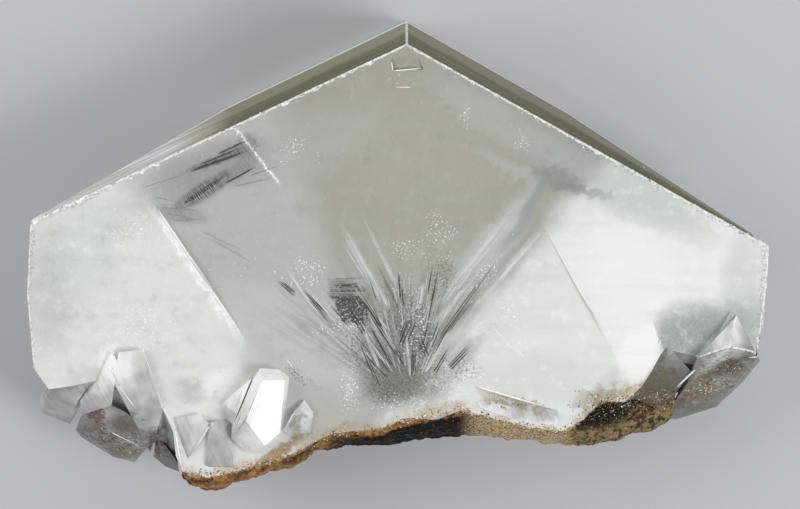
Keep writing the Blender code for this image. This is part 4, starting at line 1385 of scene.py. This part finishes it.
rind.data.materials.append(rind_finish())
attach(rind, "root")
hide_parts("matrix_rind")

# %% [markdown]
# ## Bright edges on the small crystals
# Here and there an edge of a small crystal holds a bright reflection from inside. Each is painted as one
# more white leaf, laid from end to end on whatever lies below it.

# %% Bright edges
EDGE_LIGHTS = [
    ((-35.3, -16.5), (-32.8, -20.3), 0.22), ((-32.2, -11.6), (-30.4, -17.6), 0.3),
    ((-30.4, -17.4), (-29.5, -20.2), 0.3), ((-29.7, -19.8), (-30.6, -24.6), 0.4),
    ((-29.7, -19.6), (-28.0, -22.6), 0.3), ((-28.2, -22.2), (-27.3, -28.0), 0.35),
    ((-36.9, -24.4), (-33.4, -26.2), 0.25), ((-44.8, -18.8), (-41.5, -20.9), 0.35),
    ((-40.0, -18.2), (-40.7, -20.6), 0.45), ((-23.7, -21.7), (-25.9, -25.2), 0.45),
    ((-13.0, -20.0), (-14.1, -22.0), 0.3), ((-10.7, -20.4), (-11.5, -23.2), 0.3),
    ((33.1, -10.8), (31.8, -15.9), 0.4), ((37.6, -14.8), (35.0, -17.9), 0.28),
    ((37.4, -13.4), (41.3, -11.9), 0.25), ((42.5, -7.6), (41.1, -11.8), 0.3),
    ((-36.4, -14.4), (-40.0, -20.0), 0.4), ((-36.0, -14.6), (-38.0, -20.4), 0.35),
    ((-35.8, -14.2), (-36.6, -19.4), 0.3), ((-31.8, -23.4), (-30.4, -24.9), 0.4),
    ((-22.4, -22.6), (-24.2, -27.0), 0.25), ((18.6, -19.8), (20.6, -22.0), 0.6),
    ((9.5, -16.8), (20.2, -20.0), 0.3),
]
EDGE_LIFT_MM = 0.06


def drop(x, y):
    """The highest point of the crystal or the rind below a place, or None where there is neither."""
    heights = []
    for piece in (crystal, rind):
        hit, place, normal, index = piece.ray_cast(at(x, y, 40.0), Vector((0.0, 0.0, -1.0)))
        if hit:
            heights.append(place.z)
    return max(heights) if heights else None


bpy.context.view_layer.update()
leaf = leaf_blank()
rows = []
for root, tip, width in EDGE_LIGHTS:
    heights = [drop(*root), drop(*tip)]
    if None not in heights:
        ends = [(*place, height / MM + EDGE_LIFT_MM) for place, height in zip((root, tip), heights)]
        rows.append((*ends, width))
# Painted reflections: white leaves along the small crystals' edges.
copies("edge_lights", leaf, flat_leaves(rows, LEAF_THICKNESS * 2.0), white_film_and_reflection)
bpy.data.objects.remove(leaf, do_unlink=True)

# %% [markdown]
# ## Grains on the rind and round it
# Single grains of rock and of gold-brown iron mineral sit along the rind's crest, over the seam with the
# crystal, and in patches at lower right. They are the same shards again, in three colours, dropped on
# whatever lies below them.

# %% Grains
GRAIN_PATCHES = [
    ((26.2, -19.8), (4.2, 1.4), 150), ((25.0, -18.4), (2.6, 1.0), 60), ((33.8, -20.0), (2.4, 1.4), 150),
    ((42.2, -15.0), (1.8, 0.9), 90), ((39.4, -18.0), (2.2, 2.0), 190), ((31.6, -19.0), (2.6, 0.8), 80),
    ((-38.0, -24.5), (1.0, 1.4), 20), ((-30.2, -27.2), (1.0, 1.2), 30), ((-35.0, -27.8), (2.4, 0.7), 40),
    ((13.8, -19.0), (2.4, 0.5), 25), ((-25.0, -28.6), (2.4, 0.4), 70),
]
CREST_GRAINS = 900
BASE_REACH = (-27.5, 31.0)
GRAIN_KINDS = [
    ("gold_grains", (0.50, 0.33, 0.12), (0.25, 0.12, 0.03), 0.5),
    ("dark_grains", (0.10, 0.04, 0.02), (0.012, 0.009, 0.008), 0.3),
    ("white_grains", (0.95, 0.95, 0.92), (0.72, 0.70, 0.62), 0.2),
]
GRAIN_SEED = 33


def base_places(dice, count):
    """Places along the broken base, just below its front edge."""
    for _ in range(count):
        x = dice.uniform(*BASE_REACH)
        left, right = next(pair for pair in zip(BASE_LINE, BASE_LINE[1:]) if x <= pair[1][0])
        y = left[1] + (right[1] - left[1]) * (x - left[0]) / (right[0] - left[0])
        yield x, y - 0.35 + dice.gauss(0.0, 0.35)


def patch_places(dice):
    for (x, y), (reach_x, reach_y), count in GRAIN_PATCHES:
        for _ in range(count):
            yield dice.gauss(x, reach_x * SPREAD), dice.gauss(y, reach_y * SPREAD)


def grain_finish(name, light, dark):
    finish = Finish(name)
    colour = finish.mix(finish.rise(finish.noise(1.5, 1.0), 0.35, 0.65), light, dark)
    return finish.output(finish.principled({"Base Color": colour, "Roughness": 0.4}))


dice = random.Random(GRAIN_SEED)
shard = shard_blank()
dropped = {name: [] for name, light, dark, share in GRAIN_KINDS}
for x, y in list(base_places(dice, CREST_GRAINS)) + list(patch_places(dice)):
    height = drop(x, y)
    name = dice.choices(list(dropped), weights=[kind[3] for kind in GRAIN_KINDS])[0]
    size = dice.uniform(0.12, 0.2) / dice.uniform(0.4, 1.0)
    if height is not None and height > LOWEST_EDGE_MM * MM:
        place = Vector((at(x, y).x, at(x, y).y, height))
        dropped[name].append(shard_matrix(dice, place, size))
for name, light, dark, share in GRAIN_KINDS:
    copies(name, shard, dropped[name], grain_finish(name, light, dark))
bpy.data.objects.remove(shard, do_unlink=True)
